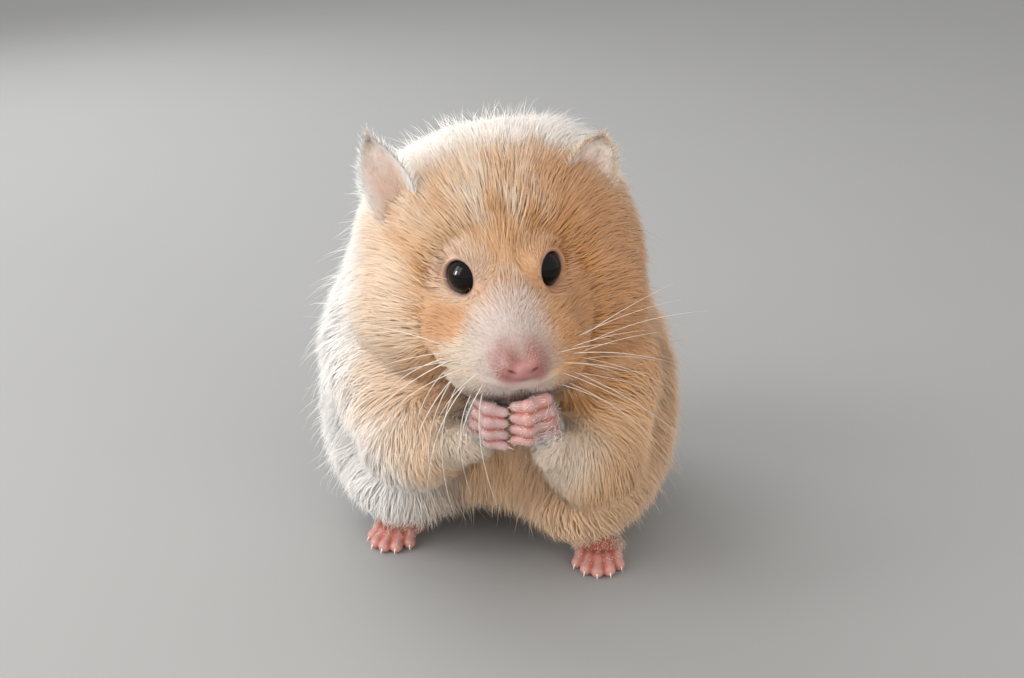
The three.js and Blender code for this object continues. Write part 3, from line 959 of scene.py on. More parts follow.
def ear_point(name, u, v, layer):
    """A place on an ear: u from root to tip, v from edge to edge, layer +1 in front and -1 behind."""
    root, rise, face, across = ear_frame(name)
    width = ear_width(name, u)
    rim = np.maximum(np.abs(v), 2 * u - 1)
    thick = EAR_THICKNESS * (1 - 0.55 * np.clip(rim, 0, 1) ** 4) + 0.8 * np.exp(-(u / 0.18) ** 2)
    fold = 0.22 * np.sin(7 * v + 2.5 * u) * np.sin(math.pi * u) * (1 - v ** 2)
    curl = 2.9 * v ** 2 * (1 - 0.55 * u) - 2.2 + 1.0 * u + fold
    offset = curl + layer * thick / 2
    h = (root + np.multiply.outer(EARS[name]["tall"] * u, rise)
         + np.multiply.outer(width * v, across) + np.multiply.outer(offset, face))
    return on_head(h)


def ear_surface(name):
    up, aside = np.linspace(*EAR_REACH, EAR_ROWS + 1), np.linspace(-1, 1, EAR_COLUMNS + 1)
    u, v = np.meshgrid(up, aside, indexing="ij")
    sheets = [ear_point(name, u, v, layer).reshape(-1, 3) for layer in (1, -1)]
    stride = EAR_COLUMNS + 1
    layer = stride * (EAR_ROWS + 1)
    faces = []

    def quad(a, b, c, d):
        faces.append([a, b, c, d] if SIDES[name] > 0 else [d, c, b, a])

    for row in range(EAR_ROWS):
        for column in range(EAR_COLUMNS):
            a = row * stride + column
            quad(a, a + 1, a + stride + 1, a + stride)
            quad(layer + a, layer + a + stride, layer + a + stride + 1, layer + a + 1)
        a = row * stride
        b = a + EAR_COLUMNS
        quad(a, a + stride, a + stride + layer, a + layer)
        quad(b, b + layer, b + stride + layer, b + stride)
    for column in range(EAR_COLUMNS):
        top = EAR_ROWS * stride + column
        quad(column, column + layer, column + 1 + layer, column + 1)
        quad(top, top + 1, top + 1 + layer, top + layer)
    return Surface(np.concatenate(sheets), faces)


FINEST_TIP = 0.02


def tapering_tree(name, sides, sharpness):
    """Geometry Nodes: gives each edge path a round section that tapers to its far end."""
    tree = bpy.data.node_groups.new(name, "GeometryNodeTree")
    for socket, kind in (("Geometry", "Geometry"), ("Thickness", "Float"), ("Material", "Material")):
        tree.interface.new_socket(socket, in_out="INPUT", socket_type="NodeSocket" + kind)
    tree.interface.new_socket("Geometry", in_out="OUTPUT", socket_type="NodeSocketGeometry")
    inputs = add_node(tree, "NodeGroupInput")
    curves = add_node(tree, "GeometryNodeMeshToCurve", inputs={"Mesh": inputs.outputs["Geometry"]})
    along = add_node(tree, "GeometryNodeSplineParameter")
    radius = add_node(tree, "ShaderNodeMath", {"operation": "SUBTRACT"}, {
        0: 1.0, 1: along.outputs["Factor"]})
    for operation, other in (("POWER", sharpness), ("MULTIPLY", inputs.outputs["Thickness"]),
                             ("MAXIMUM", FINEST_TIP * MM), ("MULTIPLY", 0.5)):
        radius = add_node(tree, "ShaderNodeMath", {"operation": operation}, {
            0: radius.outputs["Value"], 1: other})
    ring = add_node(tree, "GeometryNodeCurvePrimitiveCircle", {"mode": "RADIUS"}, {
        "Resolution": sides, "Radius": 1.0})
    tubes = add_node(tree, "GeometryNodeCurveToMesh", inputs={
        "Curve": curves.outputs["Curve"], "Profile Curve": ring.outputs["Curve"],
        "Scale": radius.outputs["Value"], "Fill Caps": True})
    real = add_node(tree, "GeometryNodeRealizeInstances", inputs={"Geometry": tubes.outputs["Mesh"]})
    coloured = add_node(tree, "GeometryNodeSetMaterial", inputs={
        "Geometry": real.outputs["Geometry"], "Material": inputs.outputs["Material"]})
    add_node(tree, "NodeGroupOutput", inputs={"Geometry": coloured.outputs["Geometry"]})
    return tree


def tapered_piece(name, paths, thickness, material, sides, sharpness):
    """A piece of like tapering growths, from lists of points in the animal's frame."""
    points, edges = [], []
    for path in paths:
        first = len(points)
        points.extend(to_metres(np.asarray(path)).tolist())
        edges.extend([first + n, first + n + 1] for n in range(len(path) - 1))
    lines = bpy.data.meshes.new(name)
    lines.from_pydata(points, edges, [])
    thing = bpy.data.objects.new(name, lines)
    bpy.context.scene.collection.objects.link(thing)
    modifier = thing.modifiers.new("Taper", "NODES")
    modifier.node_group = tapering_tree(name + " taper", sides, sharpness)
    sockets = {item.name: item.identifier for item in modifier.node_group.interface.items_tree
               if item.in_out == "INPUT"}
    modifier[sockets["Thickness"]] = thickness * MM
    modifier[sockets["Material"]] = material
    evaluated = thing.evaluated_get(bpy.context.evaluated_depsgraph_get())
    mesh = bpy.data.meshes.new_from_object(evaluated)
    mesh.name = name
    bpy.data.objects.remove(thing)
    return link_object(name, mesh, material)


def onto(field, point, turns=6):
    """Moves points to a field's surface."""
    for _ in range(turns):
        distance, normal = gradient(field, point, 0.1)
        point = point - distance[:, None] * normal
    return point


WHISKER_ROWS, WHISKER_COLUMNS = 4, 4
WHISKER_THICKNESS = {"left": 0.15, "right": 0.2}
WHISKER_POINTS = 14
WHISKER_SPREAD = 0.14


def whisker_paths(side, longest, rng):
    """Whiskers of one side: the upper ones stand out, and those of the right cheek hang in a curve."""
    hang = 1.0 if side < 0 else 0.15
    paths = []
    for row in range(WHISKER_ROWS):
        for column in range(WHISKER_COLUMNS):
            back = column / (WHISKER_COLUMNS - 1)
            down = row / (WHISKER_ROWS - 1)
            seat = np.array([[side * (6.4 + 4.4 * back), -12.6 + 6.0 * back, -10.4 - 5.4 * down]])
            seat = onto(fine_face_field, seat + rng.normal(0, 0.3, (1, 3)))[0]
            forward = -0.35 + 0.6 * back + rng.normal(0, WHISKER_SPREAD)
            upward = 0.42 - 0.3 * hang - (0.75 + 0.6 * hang) * down + rng.normal(0, WHISKER_SPREAD)
            way = unit(np.array([side * (1 - 0.35 * hang * down), forward, upward]))
            reach = longest * (0.45 + 0.4 * back + 0.2 * hang * down) * rng.uniform(0.7, 1.1)
            droop = np.array([side * (0.02 - 0.3 * hang * down), -0.05, -(0.12 + 0.5 * hang * down)])
            droop = droop * rng.uniform(0.5, 1.3)
            t = np.linspace(0, 1, WHISKER_POINTS)[:, None]
            h = seat - 0.5 * way + reach * (way * t * (1 - 0.35 * hang * down * t) + droop * t ** 2)
            paths.append(on_head(h))
    return paths


def toe_claws(side):
    """Paths of a hind foot's five claws, each curved down towards the floor."""
    paths = []
    for n in range(len(TOE_FAN)):
        _, middle, tip = toe_joints(n)
        way = unit(tip - middle)
        t = np.linspace(0, 1, 7)[:, None]
        root = tip + [0, 0, 1.75] - CLAW_ROOT * way
        f = root + (CLAW_REACH + CLAW_ROOT) * way * t - np.array([0, 0, 1.4]) * t ** 2
        centre = [SOLE_MIDDLE + side * SOLE_SPREAD, SOLE_Y, 0]
        paths.append(centre + f @ turned("Z", side * FOOT_HEADING).T)
    return paths


def finger_claws(side):
    """Paths of a forepaw's four small claws."""
    paths = []
    for n in range(len(FINGER_BULGE)):
        _, bend, tip = finger_joints(side, n)
        way = unit(tip - bend)
        t = np.linspace(0, 1, 6)[:, None]
        root = tip + [0, -0.25, 0.1] + 0.35 * way
        paths.append(root + 1.35 * way * t + np.array([0, 0.5, -0.55]) * t ** 2)
    return paths


# ------------------------------------------------------------------ the skin
BARE = {
    "pink": linear("c5938b"),
    "paw": linear("c6a5a3"),
    # painted shade: a deeper, redder pink for the shade in the folds between fingers and between toes
    "shaded_crease": linear("b0604f"),
    "nose": linear("b47f7d"),
    "wing": linear("a8716a"),
    # painted shade: dark brown inside the nostrils
    "nostril_shade": linear("7a4a48"),
    "lid": linear("9d8075"),
    "lid_edge": linear("3a2726"),
    # painted shade: dark red-brown along the closed mouth, for the shade in its crease
    "mouth": linear("5a3029"),
    "ear": linear("efe5dd"),
    "ear_deep": linear("dcbbaa"),
}


def two_nearest(distances):
    """How much farther off the second nearest form is than the nearest: 0 in a crease."""
    ordered = np.sort(np.stack(distances, -1), -1)
    return ordered[..., 1] - ordered[..., 0]


def face_colours(p):
    """The markings of the face, with its lids, nose and lips, and painted shade in the nostrils and
    along the closed mouth.
    """
    h = head_frame(p)
    colour = markings_and_shade(p)
    for side in SIDES.values():
        reach, _, from_axis = about_eye(h, side)
        beyond = from_axis - EYE_OPENING
        rim = (1 - smoothstep(*LID_RIM, beyond)) * (reach < EYE_RADIUS + 3)
        colour = mix(colour, BARE["lid"], rim)
        edge = (1 - smoothstep(*LID_EDGE, beyond)) * (reach < EYE_RADIUS + 2)
        colour = mix(colour, BARE["lid_edge"], edge)
    across = np.abs(h[..., 0])
    folded = folded_nose(h)
    wing = ellipsoid(folded, [2.5, 0.8, 0.5], [1.9, 2.2, 2.4])
    colour = mix(colour, BARE["wing"], smoothstep(1.4, -0.4, wing))
    pad = ellipsoid(folded, [0, 0.2, -0.6], [1.9, 1.9, 1.7])
    colour = mix(colour, BARE["nose"], smoothstep(0.9, -0.2, pad))
    # painted shade inside the nostrils
    colour = mix(colour, BARE["nostril_shade"], smoothstep(0.35, 0.0, nostril_field(folded)))
    # painted shade along the closed mouth
    lips = np.abs(h[..., 2] - mouth_line(across)) + np.maximum(across - 6, 0)
    return mix(colour, BARE["mouth"], (1 - smoothstep(0.3, 1.0, lips)) * smoothstep(-3, -6, h[..., 1]))


def paw_colours(p, side):
    """The left fist, on the side away from the key light, is painted darker and pinker than the right:
    painted shade.
    """
    # painted shade: the left fist is pinker and darker than the right
    bare = BARE["paw"] if side < 0 else mix(BARE["paw"], BARE["pink"], np.array(0.7))
    joints = [finger_joints(side, n) for n in range(len(FINGER_BULGE))]
    gaps = two_nearest([np.minimum(limb(p, k, b, 1, 1), limb(p, b, t, 1, 1)) for k, b, t in joints])
    # painted shade darkens the creases between the fingers
    colour = mix(BARE["shaded_crease"], bare, smoothstep(0.0, 0.75, gaps))
    return mix(colour, bare, smoothstep(-37.0, -34.5, p[..., 1]))


def foot_colours(p, side):
    """A pink foot, with painted shade darkening the creases between its toes."""
    f = foot_place(p, side)
    toes = [limb(f, toe_joints(n)[0], toe_joints(n)[2], 1, 1) for n in range(len(TOE_FAN))]
    return mix(BARE["shaded_crease"], BARE["pink"], smoothstep(0.0, 0.8, two_nearest(toes)))


def ear_colours(p, name):
    """Pale skin, pinker deep inside the ear."""
    root, rise, _, across = ear_frame(name)
    h = head_frame(p) - root
    up = (h @ rise) / EARS[name]["tall"]
    aside = np.abs(h @ across) / EARS[name]["wide"]
    inner = smoothstep(0.95, 0.3, aside) * smoothstep(0.95, 0.35, up)
    return mix(np.broadcast_to(BARE["ear"], p.shape), BARE["ear_deep"], inner)


PAW_BOX, PAW_CELL = [8, 8, 9], 0.25
FOOT_BOX, FOOT_CELL = [11, 15, 5], 0.32
FACE_ISLAND = {"low": [-18, -20, -23], "high": [18, 14, 11], "cell": 0.2, "adaptivity": 0.008}
BODY_ISLAND = {"low": [-46, -46, -2], "high": [36, 50, 86], "cell": 0.6, "adaptivity": 0.01}


def face_reach(h):
    """Below 1 where the fine face stands on the skin, rising past 1 where it dives under it."""
    return length_of((h - [0, -3.0, -6.0]) / [16.5, 16.0, 16.0])


def face_island(h):
    """The fine face, which dives under the body's skin past its rim."""
    return fine_face_field(h) - 0.08 + 1.2 * smoothstep(0.86, 1.0, face_reach(h)) \
        + 6 * smoothstep(1.0, 1.3, face_reach(h))


def body_under_face(p):
    """The body's skin, a little lower under the fine face so that the two never fight."""
    h = head_frame(p)
    return whole_field(p, 1) + 0.9 * smoothstep(0.95, 0.8, face_reach(h))


def surface_about(middle, half_box, cell, field):
    return Surface(*surface_of(field, middle - half_box, middle + half_box, cell))


def skin_surfaces():
    """Every part of the skin with the colours of its vertices."""
    surfaces = {}
    body = Surface(*surface_of(body_under_face, **BODY_ISLAND))
    surfaces["body"] = (body, markings_and_shade(body.points))
    face = Surface(*surface_of(face_island, **FACE_ISLAND)).placed(on_head)
    surfaces["face"] = (face, face_colours(face.points))
    for name, side in SIDES.items():
        palm = np.array([PAW_X + side * 5.5, -36, 37])
        paw = surface_about(palm, PAW_BOX, PAW_CELL, lambda p: paw_field(p, side))
        surfaces["paw_" + name] = (paw, paw_colours(paw.points, side))
        sole = np.array([SOLE_MIDDLE + side * SOLE_SPREAD, SOLE_Y, 4.0])
        foot = surface_about(sole, FOOT_BOX, FOOT_CELL, lambda p: foot_field(p, side))
        surfaces["foot_" + name] = (foot, foot_colours(foot.points, side))
        ear = ear_surface(name)
        surfaces["ear_" + name] = (ear, ear_colours(ear.points, name))
    return surfaces


SURFACES = {}


def cached_surfaces():
    """The skin's surfaces, made once for the skin itself and for the hair to stand on."""
    if not SURFACES:
        SURFACES.update(skin_surfaces())
    return SURFACES


# the nodes that the skin stands for: all but the eyes
FLESH = [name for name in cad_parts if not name.startswith("eye_")]


def build_skin():
    points, faces, colours = [], [], []
    first = 0
    for surface, colour in cached_surfaces().values():
        points.append(surface.points)
        colours.append(colour)
        faces.extend([first + corner for corner in face] for face in surface.faces)
        first += len(surface.points)
    mesh = bpy.data.meshes.new("skin")
    mesh.from_pydata(to_metres(np.concatenate(points)).tolist(), [], faces)
    mesh.update()
    paint(mesh, "coat", np.concatenate(colours))
    hide = material_of("Hamster skin", skin_shader)
    return link_object("skin", mesh, hide, nodes=FLESH)


CORNEA_BULGE, CORNEA_SPREAD = 0.16, 0.6


def build_eye(name):
    """A ball whose front bulges into the cornea, with a pole on the eye's own axis."""
    side = SIDES[name]
    centre, normal = eye_centre(side), eye_normal(side)
    stacks, slices = 40, 56
    axis_a = unit(np.cross(normal, [0, 0, 1.0]))
    axis_b = np.cross(axis_a, normal)
    points, faces = [centre + normal * (EYE_RADIUS + CORNEA_BULGE)], []
    for stack in range(1, stacks):
        polar = math.pi * stack / stacks
        reach = EYE_RADIUS + CORNEA_BULGE * math.exp(-(polar / CORNEA_SPREAD) ** 2)
        for slice_ in range(slices):
            turn = 2 * math.pi * slice_ / slices
            around = axis_a * math.cos(turn) + axis_b * math.sin(turn)
            points.append(centre + reach * (normal * math.cos(polar) + around * math.sin(polar)))
    points.append(centre - normal * EYE_RADIUS)
    last = len(points) - 1
    for slice_ in range(slices):
        after = (slice_ + 1) % slices
        faces.append([0, 1 + after, 1 + slice_])
        faces.append([last, last - slices + slice_, last - slices + after])
        for stack in range(stacks - 2):
            a, b = 1 + stack * slices + slice_, 1 + stack * slices + after
            faces.append([a, b, b + slices, a + slices])
    mesh = bpy.data.meshes.new("eyeball_" + name)
    mesh.from_pydata(to_metres(on_head(points)).tolist(), [], faces)
    mesh.update()
    cornea = material_of("Wet dark eye", eye_shader)
    return link_object("eyeball_" + name, mesh, cornea, nodes=["eye_" + name])


# ------------------------------------------------------------------ the growths of the coat
def towards(near, far, low, high, value):
    """Goes smoothly from near to far as value goes from low to high."""
    return near + (far - near) * smoothstep(low, high, value)


def from_nose(p):
    return length_of(head_frame(p) - NOSE_AT)


def bare_face(p):
    """Positive where the face grows no hair: nose pad, lids and the closed mouth."""
    h = head_frame(p)
    bare = 1.0 - smoothstep(0.0, 0.4, ellipsoid(folded_nose(h), [0, 0, -0.9], [2.0, 1.8, 1.4]))
    for side in SIDES.values():
        _, along, from_axis = about_eye(h, side)
        lid = (1 - smoothstep(*LID_BARE, from_axis - EYE_OPENING)) * (along > 0)
        bare = np.maximum(bare, lid)
    across = np.abs(h[..., 0])
    lips = np.abs(h[..., 2] - mouth_line(across))
    mouth = (1 - smoothstep(0.2, 0.4, lips)) * (across < MOUTH_HALF_WIDTH) * (h[..., 1] < -6)
    return np.maximum(bare, mouth)


def coat_depth(p):
    return np.clip(-whole_field(p, 0), 0.5, 7.0)


def from_eyes(p):
    h = head_frame(p)
    return np.minimum(length_of(h - eye_centre(1)), length_of(h - eye_centre(-1)))


# near and far value, and the distances in mm between which one turns into the other
FROM_NOSE = {"rise": (0.3, 4.5, 2, 30), "width": (0.14, 0.25, 3, 30), "density": (26.0, 13.0, 3, 24)}
FROM_EYES = {"length": (0.5, 1.0, 3.5, 6.5), "rise": (0.4, 1.0, 3.6, 7.5)}
FROM_WRISTS = {"length": (0.35, 1.0, 4.0, 12.0), "density": (1.8, 1.0, 4.0, 14.0),
               "width": (0.6, 1.0, 4.0, 14.0)}
SHORTEST_HAIR = 0.8


def head_length(p):
    longest = coat_setting("head_hair") / MM
    length = towards(SHORTEST_HAIR, longest, 2.5, 34, from_nose(p))
    return length * towards(*FROM_EYES["length"], from_eyes(p))


def head_rise(p):
    rise = np.minimum(coat_depth(p), towards(*FROM_NOSE["rise"], from_nose(p)))
    return rise * towards(*FROM_EYES["rise"], from_eyes(p))


def head_width(p):
    return towards(*FROM_NOSE["width"], from_nose(p))


def head_density(p):
    return towards(*FROM_NOSE["density"], from_nose(p)) * (1 - bare_face(p))


BODY_DENSITY, BODY_WIDTH = 11.5, 0.23


def body_length(p):
    length = towards(1.0, 0.76, 12, 0, p[..., 2]) * coat_setting("body_hair") / MM
    arms = np.minimum(forearm_field(p, 1, 0), forearm_field(p, -1, 0))
    length = length * towards(0.62, 1.0, -1.0, 5.0, arms)
    return length * towards(*FROM_WRISTS["length"], from_wrists(p))


def body_rise(p):
    """The coat stands highest along the top of the back, and hangs under the belly."""
    x, y, z = p[..., 0] - MIDLINE_X, p[..., 1], p[..., 2]
    under = smoothstep(26, 14, z) * smoothstep(17, 8, np.abs(x)) * smoothstep(6, -6, y)
    return coat_depth(p) * (1 + 0.35 * smoothstep(66, 78, z) + 0.6 * under)


def body_density(p):
    return BODY_DENSITY * towards(*FROM_WRISTS["density"], from_wrists(p))


def body_width(p):
    return BODY_WIDTH * towards(*FROM_WRISTS["width"], from_wrists(p))


HEAD_LAY = Lay(head_length, head_rise, head_width, links=2, gather=0.1, lock=8, stray=0.2, curl=0.12)
BODY_LAY = Lay(body_length, body_rise, body_width, links=2, gather=0.28, lock=12, stray=0.26, curl=0.2)


def trunk_angle(p):
    """Degrees round the trunk from the front, positive to the animal's left."""
    return np.degrees(np.arctan2(p[..., 0] - MIDLINE_X, 7.0 - p[..., 1]))


def body_zone(p):
    """The name of the coat piece that each root of the body belongs to."""
    angle = trunk_angle(p)
    side = np.where(angle > 0, "left", "right")
    turn = np.abs(angle)
    high = p[..., 2] > 40
    zone = np.where(turn > 112, np.where(high, "nape", "rump"), np.where(high, "shoulder", "flank"))
    zone = np.char.add(np.char.add(zone, "_"), side)
    zone = np.where(turn < 45, np.where(p[..., 2] > 26, "chest", "belly"), zone)
    thigh = np.minimum(thigh_field(p, 1, 1), thigh_field(p, -1, 1)) < 0.6
    zone = np.where(thigh, np.char.add("thigh_", side), zone)
    for name, way in SIDES.items():
        near = np.minimum(arm_field(p, way, 1), forearm_field(p, way, 1)) < 0.8
        zone = np.where(near, "arm_" + name, zone)
    return zone


def head_zone(p):
    """The name of the coat piece that each root of the head belongs to."""
    h = head_frame(p)
    zone = np.where(h[..., 0] > 0, "cheek_left", "cheek_right")
    zone = np.where((h[..., 2] > 1.5) & (h[..., 1] > 2), "crown", zone)
    return np.where((h[..., 1] < 1.0) & (np.abs(h[..., 0]) < 12), "muzzle", zone)


# first seed of each growth's random draws
SEEDS = {"head": 101, "body": 102, "head_pieces": 200, "body_pieces": 300,
         "ear": 400, "paw": 420, "foot": 440, "guard": 460, "whiskers": 50}


def planted(density, rng, keep, parts=("body", "face")):
    """Roots on the skin's main parts where keep allows them, with their normals."""
    roots, normals = [], []
    for part in parts:
        surface, _ = cached_surfaces()[part]
        where, normal = surface.scatter(density, rng)
        chosen = keep(where, part)
        roots.append(where[chosen])
        normals.append(normal[chosen])
    return np.concatenate(roots), np.concatenate(normals)


def on_top(p, part):
    """Keeps roots where a part of the skin is the one that shows."""
    reach = face_reach(head_frame(p))
    return reach < 0.86 if part == "face" else reach >= 0.86


def grow_zones(roots, normals, zones, lay, seed):
    """Grows one coat piece for each zone."""
    for number, zone in enumerate(sorted(set(zones))):
        chosen = zones == zone
        rng = np.random.default_rng(seed + number)
        grow("coat_" + str(zone), roots[chosen], normals[chosen], lay, markings_and_shade, rng)


def grow_head():
    rng = np.random.default_rng(SEEDS["head"])
    roots, normals = planted(head_density, rng, lambda p, part: on_top(p, part) & (head_share(p) > 0.5))
    grow_zones(roots, normals, head_zone(roots), HEAD_LAY, SEEDS["head_pieces"])


def grow_body():
    rng = np.random.default_rng(SEEDS["body"])
    roots, normals = planted(
        body_density, rng, lambda p, part: on_top(p, part) & (head_share(p) <= 0.5))
    grow_zones(roots, normals, body_zone(roots), BODY_LAY, SEEDS["body_pieces"])


def ear_lie(name):
    """Hair on an ear points to its tip and out past its edges."""
    root, rise, _, across = ear_frame(name)

    def lie(p):
        h = head_frame(p) - root
        aside = (h @ across) / EARS[name]["wide"]
        way = rise + np.multiply.outer(aside, across) * 0.8
        return unit(way) @ HEAD_TURN.T
    return lie


def ear_places(p, name):
    """Share of the way to an ear's tip and to its edge, and 1 where a place is on its front."""
    root, rise, face, across = ear_frame(name)
    h = head_frame(p) - root
    u = np.clip((h @ rise) / EARS[name]["tall"], 0, 1)
    v = np.clip((h @ across) / np.maximum(ear_width(name, u), 0.3), -1, 1)
    middle = 2.9 * v ** 2 * (1 - 0.55 * u) - 2.2 + 1.0 * u
    return u, v, (h @ face) > middle


def ear_rim(p, name, edge, tip, full):
    """Rises to 1 at an ear's rim, from the shares of its width and height where it starts."""
    u, v, _ = ear_places(p, name)
    return np.maximum(smoothstep(edge, full, np.abs(v)), smoothstep(tip, full, u))


def grow_on(part, seed, density, lay, colour):
    """Short hair on one of the fine parts of the skin."""
    rng = np.random.default_rng(seed)
    surface, _ = cached_surfaces()[part]
    roots, normals = surface.scatter(density, rng)
    grow("coat_" + part, roots, normals, lay, colour, rng)


def even(value):
    return lambda p: np.full(len(p), value)


def all_along(way):
    return lambda p: np.broadcast_to(way, p.shape)


def plain(fur):
    return lambda p: np.broadcast_to(FUR[fur], p.shape)


def short_lay(length, rise, width, lie, gather=0.25, stray=0.25, lean=3.0):
    return Lay(length, rise, even(width), links=2, gather=gather, lock=6, stray=stray,
               field=None, lie=lie, lean=lean)


# hairs to the square millimetre
EAR_DOWN, EAR_FRINGE, EAR_BACK = 4.0, 27.0, 26.0
PAW_DENSITY, FOOT_DENSITY, THINNEST = 18.0, 16.0, 2.0


def grow_ear(name):
    """Pale down inside the ear, thicker hair on its back, and a fringe at its rim."""
    def density(p):
        u, _, front = ear_places(p, name)
        inner = EAR_DOWN + (EAR_FRINGE - EAR_DOWN) * ear_rim(p, name, 0.72, 0.8, 0.95)
        return np.where(front, inner, EAR_BACK) * (u > 0.06)

    def length(p):
        rim = ear_rim(p, name, 0.75, 0.75, 0.95)
        return np.where(ear_places(p, name)[2], 1.6 + 0.9 * rim, 2.0 - 1.5 * rim)

    def rise(p):
        return 0.45 + 0.5 * ear_rim(p, name, 0.8, 0.85, 0.98) * ear_places(p, name)[2]

    def colour(p):
        u, v, front = ear_places(p, name)
        rim = FUR["white"] if SIDES[name] < 0 else FUR["cream"] * 0.65 + FUR["golden"] * 0.35
        inside = FUR["cream"] * 0.55 + FUR["apricot"] * 0.45
        pale = mix(inside, rim, smoothstep(0.4, 0.9, np.abs(v)))
        pale = mix(pale, FUR["apricot"], (~front) * 0.35)
        return mix(pale, FUR["apricot"], smoothstep(0.35, 0.05, u) * 0.6)

    lay = short_lay(length, rise, 0.12, ear_lie(name), gather=0.1, stray=0.3, lean=0.6)
    grow_on("ear_" + name, SEEDS["ear"] + SIDES[name], density, lay, colour)


def grow_paw(name):
    """Short pale hair on the cuff and on the backs of the paw and fingers."""
    side = SIDES[name]

    def outwards(p):
        return side * (p[..., 0] - PAW_X)

    def density(p):
        back = smoothstep(-36.0, -33.5, p[..., 1])
        low = smoothstep(38.0, 35.0, p[..., 2] - PAW_RAISED[side]) * smoothstep(3.5, 5.5, outwards(p))
        return PAW_DENSITY * np.maximum(back, 0.6 * low) + THINNEST

    to_fingers = unit(np.array([-side * 0.9, -0.5, -0.25]))
    lay = short_lay(lambda p: towards(0.7, 2.6, 3.0, 7.0, outwards(p)), even(0.55), 0.12,
                    all_along(to_fingers))
    grow_on("paw_" + name, SEEDS["paw"] + side, density, lay, plain("white"))


def grow_foot(name):
    """Short pale hair on the ankle and the top of the hind foot."""
    side = SIDES[name]

    def density(p):
        f = foot_place(p, side)
        top = smoothstep(1.6, 3.0, f[..., 2])
        return top * (FOOT_DENSITY * smoothstep(-7.5, -2.0, f[..., 1]) + THINNEST)

    ahead = turned("Z", side * FOOT_HEADING) @ np.array([0, -1.0, -0.15])
    lay = short_lay(lambda p: towards(0.8, 3.0, -8.0, 2.0, foot_place(p, side)[..., 1]), even(0.5),
                    0.13, all_along(ahead))
    grow_on("foot_" + name, SEEDS["foot"] + side, density, lay, plain("cream"))


GUARD_WIDTH = 0.13


def grow_guard():
    """Sparse long fine hairs that stand past the rest and break the outline."""
    for number, name in enumerate(SIDES):
        rng = np.random.default_rng(SEEDS["guard"] + number)

        def density(p):
            return 0.16 * smoothstep(12, 26, from_nose(p)) + 0.5 * smoothstep(70, 77, p[..., 2])

        def here(p, part):
            return on_top(p, part) & (SIDES[name] * (p[..., 0] - MIDLINE_X) > 0)

        roots, normals = planted(density, rng, here)
        lay = Lay(lambda p: 1.25 * np.where(head_share(p) > 0.5, head_length(p), body_length(p)),
                  lambda p: 1.5 * coat_depth(p) + 0.8, even(GUARD_WIDTH),
                  links=4, gather=0.0, stray=0.35, curl=0.25)
        grow("coat_guard_" + name, roots, normals, lay, markings_and_shade, rng)


# ------------------------------------------------------------------ add-on
class HamsterCoatSettings(bpy.types.PropertyGroup):
    """What a user would change about the hair."""

    whisker_length: bpy.props.FloatProperty(
        name="Whisker length", description="Length of the longest whisker",
        default=0.030, unit="LENGTH", precision=4)
    head_hair: bpy.props.FloatProperty(
        name="Head hair", description="Length of the longest hair of the head",
        default=0.0085, unit="LENGTH", precision=4)
    body_hair: bpy.props.FloatProperty(
        name="Body hair", description="Length of the longest hair of the body",
        default=0.0125, unit="LENGTH", precision=4)
    apricot: bpy.props.FloatVectorProperty(
        name="Apricot", description="Main colour of the coat", subtype="COLOR", size=3,
        default=tuple(FUR["apricot"]))
    golden: bpy.props.FloatVectorProperty(
        name="Golden", description="Deeper colour in the coat", subtype="COLOR", size=3,
        default=tuple(FUR["golden"]))
    white: bpy.props.FloatVectorProperty(
        name="White", description="Colour of the crown and of the right side", subtype="COLOR", size=3,
        default=tuple(FUR["white"]))


class HamsterStageSettings(bpy.types.PropertyGroup):
    """What a user would change about the stage."""

    floor_colour: bpy.props.FloatVectorProperty(
        name="Floor colour", description="Colour of the plain floor", subtype="COLOR", size=3,
        default=tuple(linear("a1a1a0")))
    key_power: bpy.props.FloatProperty(
        name="Key light", description="Power of the large soft light on the animal's right",
        default=1.25, unit="POWER")


class HAMSTER_OT_skin(bpy.types.Operator):
    """Build the skin round the solids of flesh"""

    bl_idname = "hamster.skin"
    bl_label = "Skin"

    def execute(self, context):
        build_skin()
        return {"FINISHED"}


class HAMSTER_OT_eyes(bpy.types.Operator):
    """Build the two eyes"""

    bl_idname = "hamster.eyes"
    bl_label = "Eyes"

    def execute(self, context):
        for name in SIDES:
            build_eye(name)
        return {"FINISHED"}


class HAMSTER_OT_claws(bpy.types.Operator):
    """Build the claws of all four feet"""

    bl_idname = "hamster.claws"
    bl_label = "Claws"

    def execute(self, context):
        claw = horn_material("Claw keratin", "e3bfb2", "efd9cd")
        for name, side in SIDES.items():
            tapered_piece("claws_hind_" + name, toe_claws(side), 0.8, claw, 10, 0.7)
            tapered_piece("claws_fore_" + name, finger_claws(side), 0.42, claw, 8, 0.7)
        return {"FINISHED"}


class HAMSTER_OT_whiskers(bpy.types.Operator):
    """Build the whiskers on both sides of the muzzle"""

    bl_idname = "hamster.whiskers"
    bl_label = "Whiskers"

    def execute(self, context):
        longest = context.scene.hamster_coat.whisker_length / MM
        bristle = horn_material("Whisker keratin", "cdbfb0", "efe6da")
        for name, side in SIDES.items():
            rng = np.random.default_rng(SEEDS["whiskers"] + side)
            paths = whisker_paths(side, longest, rng)
            thickness = WHISKER_THICKNESS[name]
            tapered_piece("whiskers_" + name, paths, thickness, bristle, 5, 0.6)
        return {"FINISHED"}


class HAMSTER_OT_head_coat(bpy.types.Operator):
    """Grow the short coat of the head"""

    bl_idname = "hamster.head_coat"
    bl_label = "Head coat"

    def execute(self, context):
        grow_head()
        for name in SIDES:
            grow_ear(name)
        return {"FINISHED"}


